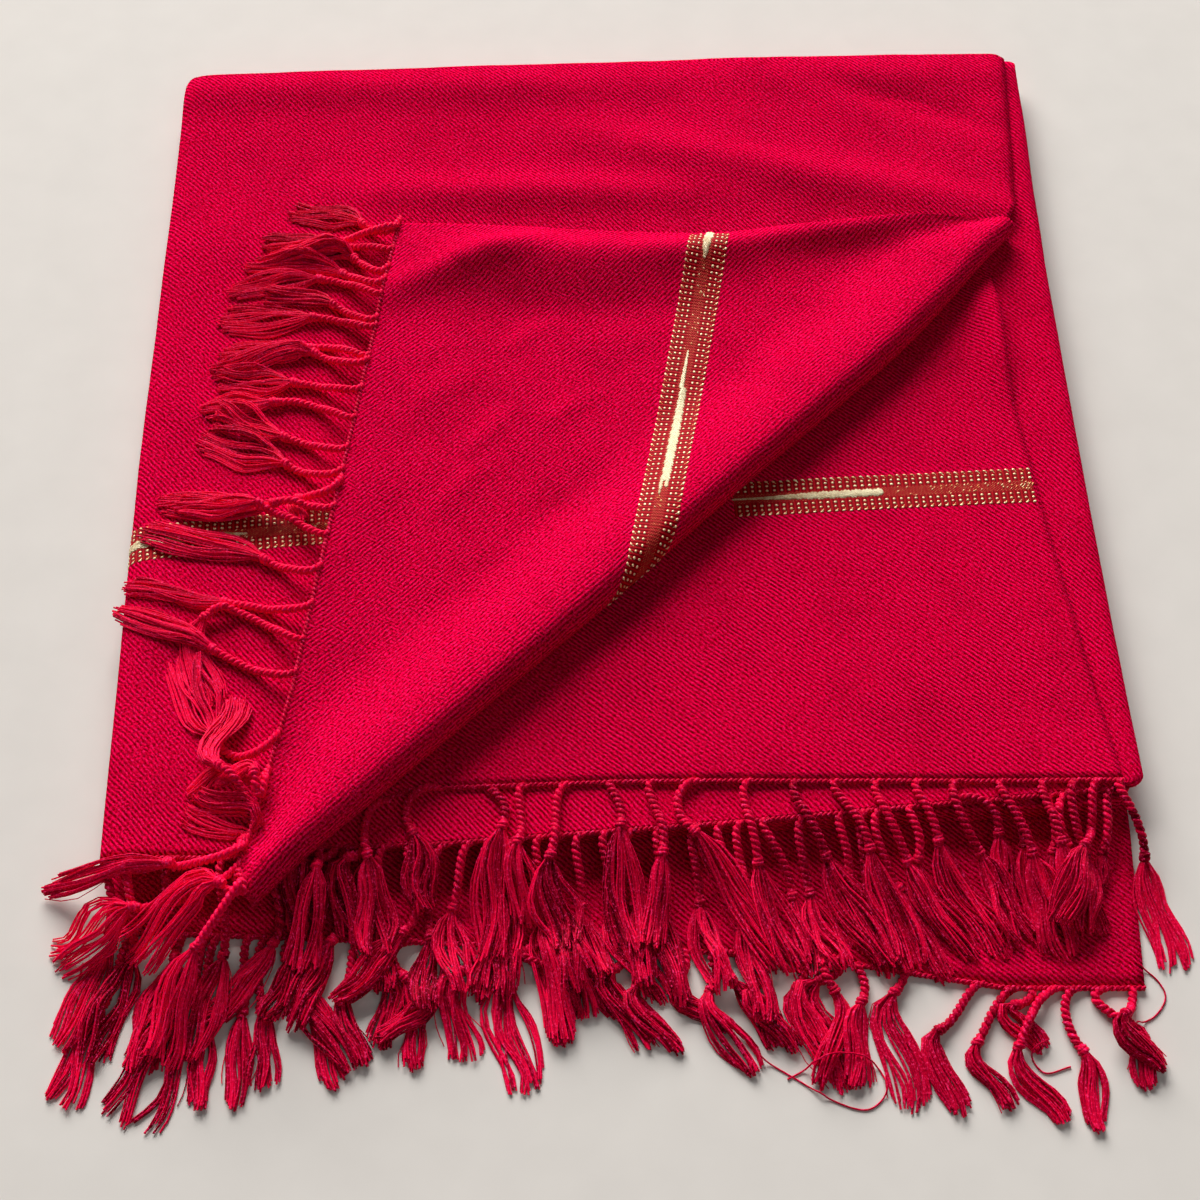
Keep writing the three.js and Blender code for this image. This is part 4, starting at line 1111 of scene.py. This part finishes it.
def tassel(yarns, ground, start, way, tip, bow, spread, draw, tint):  # a brush of wavy yarns with blunt ends
    size = tasselSize
    length = math.hypot(*(tip[:2] - start[:2]))
    ahead = (tip[:2] - start[:2]) / max(length, 1)
    aside = np.array([-ahead[1], ahead[0]])
    bend = tip[:2] - ahead * length * 0.34 + aside * bow
    corners = [start[:2], start[:2] + way * length * 0.36, bend, tip[:2]]
    count, points = size["strands"] + size["strays"], size["points"]
    widthAt = lambda t: mix(size["neck"], spread, 1 - np.exp(-t / size["opens"]))
    locks = int(draw.integers(*size["locks"]))
    swing = draw.uniform(*size["swing"], locks) * spread
    swingTurn, swingPhase = draw.uniform(*size["swingTurn"], locks), draw.uniform(0, 6, locks)
    lockShift = draw.uniform(-size["shift"], size["shift"], locks)
    lines, radii, high = [], [], []
    for k in range(count):
        stray = k >= size["strands"]
        if stray:
            own = draw.uniform(-1.2, 1.2)
        else:
            own = (k + 0.5) / size["strands"] * 2 - 1 + draw.uniform(-0.1, 0.1)
        lock = int(np.clip((own + 1) / 2 * locks, 0, locks - 1))
        reach = draw.uniform(0.55, 1.1) if stray else 1.04 - 0.1 * own * own + draw.uniform(-0.08, 0.05)
        t = np.linspace(0, 1, points) * reach
        line = bezier(corners, t)
        run = np.gradient(line, axis=0)
        run /= np.linalg.norm(run, axis=1)[:, None]
        width = widthAt(t) * (1 - size["narrows"] * t ** 3)
        loose = np.clip(t * 2.5, 0, 1)
        wander = size["strayWander"] if stray else size["wander"]
        off = ((own + lockShift[lock] * loose) * width / 2
               + swing[lock] * np.sin(t * swingTurn[lock] + swingPhase[lock]) * loose
               + wander * np.sin(t * draw.uniform(5, 9) + draw.uniform(0, 6)) * loose)
        lines.append(line + np.column_stack([-run[:, 1], run[:, 0]]) * off[:, None])
        radii.append(size["strand"] * (size["strayShare"] if stray else draw.uniform(0.85, 1.15)))
        high.append(draw.uniform(0, 1) * math.sqrt(max(1 - own * own, 0.05)))
    lines, high = np.array(lines), np.array(high)
    layer = np.clip(size["heap"] / widthAt(np.linspace(0, 1, points)), size["heapLeast"], size["heapMost"])
    under = ground.under(lines[..., 0], lines[..., 1], 0) + size["strand"] + high[:, None] * layer[None, :]
    under[:, 0] = start[2] + (high - 0.4) * 3.4
    z = settleOn(lines, under, under[:, 0], bend=0.025, steepest=0.5, climb=1.2, passes=3)
    solid = np.concatenate([lines, z[..., None]], axis=-1)
    for k in range(count):
        yarns.add(solid[k], radii[k], float(np.clip(tint + draw.uniform(-0.5, 0.5), 0, 1)), fine=True)
    ground.stamp(np.concatenate([solid, (solid[:, 1:] + solid[:, :-1]) / 2], axis=1), size["clear"])


def looseThread(yarns, ground, places):  # a single yarn that lies where it fell
    places = np.array(places, float)
    ends = np.concatenate([[2 * places[0] - places[1]], places, [2 * places[-1] - places[-2]]])
    line = np.array([through(*ends[k:k + 4], f) for k in range(len(ends) - 3)
                     for f in np.linspace(0, 1, 10, endpoint=False)] + [places[-1]])
    height = ground.under(line[:, 0], line[:, 1], 0) + 0.5
    for _ in range(4):
        height[1:-1] = np.maximum((height[:-2] + 2 * height[1:-1] + height[2:]) / 4, height[1:-1])
    yarns.add(np.column_stack([line, height]), 0.42, 0.6, fine=True)


cordLook = {
    "step": 0.8, "settles": 9, "hemRun": 5, "longest": 31, "slack": 0.45,
    "swell": ([0, 0.1, 0.25, 1], [0.62, 0.85, 1, 1]),
}


def fringeTassel(yarns, ground, root, travel, knotBy, tipBy, bow, spread, draw, light):
    # root: where the cord leaves the hem; travel: which way it runs along the hem before that; light: a lift
    # of the tint, painted light for strands the lamp leaves dark
    tint = light + draw.uniform(0.3, 0.8)
    toKnot, toTip, reach = np.array(knotBy, float), np.array(tipBy, float), math.hypot(*knotBy)
    way = toKnot / reach * 0.45 + toTip / math.hypot(*tipBy) * 0.55
    way = way / np.linalg.norm(way)
    aside = np.array([-toKnot[1], toKnot[0]]) / reach
    slack = max(0.0, cordLook["longest"] - reach) * cordLook["slack"] * (1 if bow >= 0 else -1)
    knotAt = root[:2] + toKnot
    corners = [root[:2] - travel * cordLook["hemRun"],
               root[:2] + travel * (3.5 + 0.06 * reach) + aside * slack,
               knotAt - way * reach * 0.42 + aside * (bow + slack * 0.6), knotAt]
    path, _ = evenly(bezier(corners, np.linspace(0, 1, 60)), cordLook["step"])
    half = yarnSize["ply"] + yarnSize["plyOff"]
    under = ground.under(path[:, 0], path[:, 1], 1) + half * 0.92
    free = np.clip(np.arange(len(path)) * cordLook["step"] / cordLook["settles"], 0, 1)
    under = mix(np.minimum(under, root[2]), under, free)
    z = settleOn(path, under, root[2], bend=0.02, steepest=0.5, climb=0.9, passes=8)
    line = np.column_stack([path, z])
    twisted(yarns, line, yarnSize["ply"], yarnSize["plyOff"], yarnSize["turn"], tint, draw.uniform(0, 6),
            cordLook["swell"])
    end = line[-1] - line[-3]
    end = end / np.linalg.norm(end)
    middle = line[-1] + end * knotSize["ahead"]
    middle[2] = max(middle[2], ground.under(*middle[:2], 1) + knotSize["ring"] + knotSize["yarn"])
    knot(yarns, middle, end, draw, tint)
    start = middle + end * knotSize["toTassel"]
    flat = end[:2] / max(np.linalg.norm(end[:2]), 0.3)
    tassel(yarns, ground, start, flat, np.append(start[:2] + toTip, 0), bow * 0.4, spread, draw, tint)
    ground.stamp(line, half)
    ground.stamp(middle[None, :], knotSize["clear"])


def hangFringe(name, ground, table, rootAt, travel, seed, node, threads=(), light=0):
    draw = np.random.default_rng(seed)
    yarns = Yarns()
    for at, knotX, knotY, tipX, tipY, bow, spread in rowsOf(table):
        fringeTassel(yarns, ground, rootAt(at), np.array(travel), (knotX, knotY), (tipX, tipY), bow, spread,
                     draw, light)
    for places in threads:
        looseThread(yarns, ground, places)
    return addPiece(name, yarns.mesh(name), [yarn], "fringe", node)


def hemPiece(name, path, node):
    yarns = Yarns()
    twisted(yarns, path, yarnSize["hemPly"], yarnSize["hemOff"], yarnSize["hemTurn"], 0.5)
    return addPiece(name, yarns.mesh(name), [yarn], "fringe", node)


def onLine(path, key):  # a point of a hem at one of its coordinates
    order = np.argsort(path[:, key])
    return lambda at: np.array([np.interp(at, path[order, key], path[order, k]) for k in range(3)])


def hemOf(row, up=0.0):  # a little in front of a sheet's first row, and below its upper face
    return row + np.array([0, -0.9, -0.9]) + np.array([0, 0, up])


leftward = (-1.0, 0.0)
ground = Ground()
ground.cover(bottomData)
bottomHem = hemOf(bottomData[0], 0.7)
hemBottom = hemPiece("hemOfBottom", bottomHem, "hem_bottom")
# a row for each tassel: where on the hem, how far its knot and tip lie from there, its bow and its width
bottomFringeTable = {
    "at": [-222, -201, -188, -182, -169, -161, -148, -135, -120, -110, -94, -79, -69, -49, -37, -21, -10, 1,
        13, 28, 43, 54, 64, 82, 96, 105, 108, 124, 165, 181, 185, 200, 209, 221, 233],
    "knotX": [-8, -3, -6, -2, 2, 2, 6, -2, -1, 4, -2, 4, 1, 4, 6, -1, 0, 2, 0, 4, 3, -1, 3, 4, 1, -5, 6, 6,
        -16, -16, 0, -17, 1, 10, -1],
    "knotY": [-34, -21, -38, -41, -36, -34, -24, -20, -23, -16, -17, -22, -15, -14, -10, -8, -6, -9, -16,
        -12, -17, -14, -13, -12, -9, -14, -17, -10, -22, -25, -8, -27, -29, -16, -14],
    "tipX": [-12, -2, -20, 0, 0, 3, 16, 22, 11, -2, 5, -26, 4, 8, 4, 20, 3, 17, 19, 22, 19, 18, 18, 13, 11,
        -10, -3, 7, 8, 13, 12, 17, 1, 3, 16],
    "tipY": [-43, -40, -46, -36, -40, -33, -42, -38, -32, -32, -39, -22, -37, -50, -36, -22, -26, -34, -29,
        -22, -36, -27, -28, -31, -49, -40, -37, -51, -36, -27, -20, -31, -33, -28, -22],
    "bow": [2, 2, 3, -2, 2, -2, -4, 4, 2, -2, -3, 5, 2, 2, -3, -5, 3, 3, 3, 3, 4, -4, 3, 3, 9, -3, 2, 8, 8,
        6, 4, 6, -6, -2, 3],
    "spread": [20, 16, 30, 12, 12, 14, 13, 11, 9, 12, 11, 11, 17, 23, 14, 13, 12, 14, 10, 11, 12, 14, 12,
        11, 20, 9, 13, 20, 13, 9, 13, 11, 13, 11, 10],
}
bottomThreads = [
    [(66, -376), (82, -386), (98, -396), (113, -400), (122, -391), (117, -379), (104, -376), (90, -380),
     (78, -386)],
    [(240, -330), (249, -338), (252, -347), (246, -356), (236, -361)],
    [(-243, -330), (-244, -343), (-242, -356)],
    [(196, -368), (188, -374), (193, -383), (205, -380)],
]
fringeBottom = hangFringe("fringeOfBottom", ground, bottomFringeTable, onLine(bottomHem, 0), leftward, 101,
                          "fringe_bottom", bottomThreads)
print("bottom fringe laid")

ground.cover(pileData)
ground.cover(thirdData)
thirdHem = hemOf(thirdData[0][:-6])
hemThird = hemPiece("hemOfThird", thirdHem, "hem_third")
thirdFringeTable = {
    "at": [-164, -153, -146, -136, -125, -122, -108, -97, -80, -69, -58, -48, -36, -26, -17, -5, 8, 20, 37,
        49, 58, 69, 88, 105, 117, 124, 137, 159, 181, 204, 217, 234],
    "knotX": [9, 9, 1, 0, -3, 2, 0, 2, -4, -4, 2, 1, 4, 2, 3, 6, 2, 3, 4, 12, 4, 15, 4, 6, 2, 9, 7, 23, 13,
        4, -5, -2],
    "knotY": [-42, -46, -10, -6, -42, -6, -33, -39, -40, -27, -30, -29, -34, -33, -31, -32, -31, -28, -33,
        -29, -40, -32, -33, -26, -35, -34, -22, -12, -19, -24, -25, -27],
    "tipX": [-25, -12, -1, -1, -15, 6, 4, -27, -1, 8, -2, -2, 10, 7, 10, 22, 3, 9, 9, 8, 7, 7, 13, 6, 8, 17,
        12, -3, 6, 7, -2, -2],
    "tipY": [-34, -30, -29, -32, -38, -34, -30, -30, -34, -40, -40, -41, -55, -37, -33, -41, -38, -50, -41,
        -38, -50, -36, -35, -34, -37, -42, -34, -42, -41, -38, -22, -14],
    "bow": [3, 2, -2, 2, 3, 2, 3, 6, -4, 3, -2, 2, 4, -3, 4, 5, -3, 3, 3, -4, 4, 4, 2, 2, 3, -3, 5, 9, 3, 4,
        -4, 2],
    "spread": [13, 12, 14, 18, 15, 17, 14, 14, 15, 18, 15, 17, 16, 14, 14, 18, 14, 13, 15, 16, 13, 12, 17,
        15, 13, 12, 14, 15, 14, 12, 9, 6],
}
fringeThird = hangFringe("fringeOfThird", ground, thirdFringeTable, onLine(thirdHem, 0), leftward, 202,
                         "fringe_third")

ground.cover(secondData)
secondHem = hemOf(secondData[0])
hemSecond = hemPiece("hemOfSecond", secondHem, "hem_second")
secondFringeTable = {
    "at": [-130, -109, -85, -63, -45, -24, -4.5, 16, 37.5, 62, 84.5, 103, 123.5, 142, 161, 182, 203, 218,
        228, 238],
    "knotX": [-6, -5, -9, 12.5, 2, -4, 9, 8, 0, 6, 15, 17, 14, 11, 10.5, 14, 6, 3, -6, 12.5],
    "knotY": [-28, -27, -22, -19, -28, -36, -21, -35, -26, -38, -35, -33, -37, -27, -33, -34, -31, -35, -32,
        -33],
    "tipX": [-6, 6, 5, -3, 5, 8, 6, -4, 37, 17, 27, 17, 26, 26, 17, 11, 15, -5, -14, 7],
    "tipY": [-42, -42, -32, -58, -34, -40, -56, -40, -58, -48, -48, -52, -42, -50, -40, -44, -36, -34, -34,
        -50],
    "bow": [-2, -3, -7, 6, 4, 5, 3, 4, -6, 3, 2, 4, 2, 3, -3, 2, 3, -5, 5, 4],
    "spread": [18, 20, 16, 22, 14, 20, 20, 12, 18, 18, 20, 18, 14, 18, 16, 20, 16, 12, 14, 20],
}
fringeSecond = hangFringe("fringeOfSecond", ground, secondFringeTable, onLine(secondHem, 0), leftward, 303,
                          "fringe_second")
print("second and third fringes laid")

ground.cover(topData)
stripe = topAt(*along(topLine, *np.meshgrid(np.arange(0, 130, 0.8), np.arange(-12, 12.1, 0.8))))
stripe[..., 2] += 1.0
ground.stamp(stripe, 0)
topHem = hemOf(topData[0][9:])
hemTop = hemPiece("hemOfTop", topHem, "hem_top")
topFringeTable = {
    "at": [-236, -225, -206, -182],
    "knotX": [6, 5, 6, 4],
    "knotY": [-36, -40, -42, -40],
    "tipX": [-16, -12, -14, -10],
    "tipY": [-44, -46, -48, -46],
    "bow": [4, 2, -3, 2],
    "spread": [18, 18, 20, 18],
}
fringeTop = hangFringe("fringeOfTop", ground, topFringeTable, onLine(topHem, 0), leftward, 404, "fringe_top")

ground.cover(turnedData)
edge = turnedData[:turnedSheet["rows"] * cornerRow // 8 + 1, 0]
rollEnd = turnedData[0, 4:-6:3]
turnedHem = np.concatenate([edge[::-1], rollEnd]) + np.array([-0.6, -0.3, -0.5])
hemTurned = hemPiece("hemOfTurned", turnedHem, "hem_turned")
turnedFringeTable = {
    "at": [104, 98, 80, 66, 56, 46, 31, 25, 4, 1, -18, -38, -57, -71, -77, -95, -112, -132, -154, -175,
        -193, -227, -247, -251, -268, -283, -286, -297, -300, -304],
    "knotX": [-19, -34, -25, -18, -22, -33, -23, -32, -30, -27, -34, -41, -32, -28, -19, -29, -34, -27, -41,
        -48, -40, -30, -14, -4, -16, -3, -33, -45, -4, -18],
    "knotY": [1, -6, 8, 12, 11, 18, 14, 12, 12, 10, 9.5, 17, 12, 8, -7, 6, 19, 9, 6, 20, 17, 1, 2, 0, 21, 3,
        -5, -13, -5, -26],
    "tipX": [-38, -35, -38, -36, -50, -45, -36, -47, -44, -50, -37, -35, -33, -43, 4, -55, -42, -60, -48, 6,
        -49, -18, -19, -18, 4, -28, -56, -34, -38, -14],
    "tipY": [9, 2, -4, -2, 4, -7, 6, -1, -3, -12, 2, -3, 17, 16, -14, 5, 5, 17, 13, -46, 25, 42, -12, -5,
        41, 16, -4, -18, -29, -46],
    "bow": [3, -4, -2, 3, 2, -3, 2, -3, -7, 5, -2, -8, -2, 3, 5, -4, -3, 2, -2, 2, 2, 9, 1, 1, -7, 2, 3, 6,
        3, 3],
    "spread": [18, 20, 12, 12, 14, 18, 12, 22, 20, 16, 22, 14, 20, 24, 8, 18, 16, 18, 11, 17, 12, 24, 10, 8,
        14, 22, 11, 28, 26, 20],
}
# the turned fringe's tint is lifted by 0.45, painted light for its sideways strands
fringeTurned = hangFringe("fringeOfTurned", ground, turnedFringeTable, onLine(turnedHem[:-4], 1),
                          (-0.13, -0.99), 505, "fringe_turned", light=0.45)
print("turned fringe laid")

# ---- floor and light ----
floorLook = {"dark": shade("dad6d1"), "pale": shade("e2ded9"), "scale": 40, "half": 3.0}
paleFloor, wire, shader = newMaterial("paleFloor", {"Roughness": 0.8, "Specular IOR Level": 0.2})
speckle = wire.noise(wire.ownPlace(), floorLook["scale"], 3)
finish(wire, shader, speckle.colour(floorLook["dark"], floorLook["pale"]))
bm = bmesh.new()
bmesh.ops.create_grid(bm, x_segments=1, y_segments=1, size=floorLook["half"])
floorMesh = meshFrom(bm, "floor")
floorMesh.materials.append(paleFloor)
floor = bpy.data.objects.new("floor", floorMesh)
bpy.context.collection.objects.link(floor)

lamps = [
    {"name": "windowLight", "place": (-2.0, 7.4, 4.0), "size": (7.4, 5.0), "power": 1580,
     "colour": (1.0, 0.97, 0.94)},
    {"name": "fillLight", "place": (0.7, -1.3, 1.8), "size": (1.6, 1.6), "power": 5,
     "colour": (1.0, 0.98, 0.96)},
]
for lamp in lamps:
    data = bpy.data.lights.new(lamp["name"], "AREA")
    data.energy, data.color, data.shape = lamp["power"], lamp["colour"], "RECTANGLE"
    data.size, data.size_y = lamp["size"]
    light = bpy.data.objects.new(lamp["name"], data)
    light.location = lamp["place"]
    light.rotation_euler = (-Vector(lamp["place"])).to_track_quat("-Z", "Y").to_euler()
    bpy.context.collection.objects.link(light)
world = bpy.data.worlds.new("studio")
world.use_nodes = True
background = world.node_tree.nodes["Background"]
background.inputs["Color"].default_value = (0.95, 0.97, 1.0, 1)
background.inputs["Strength"].default_value = 0.07
bpy.context.scene.world = world
print("light set")
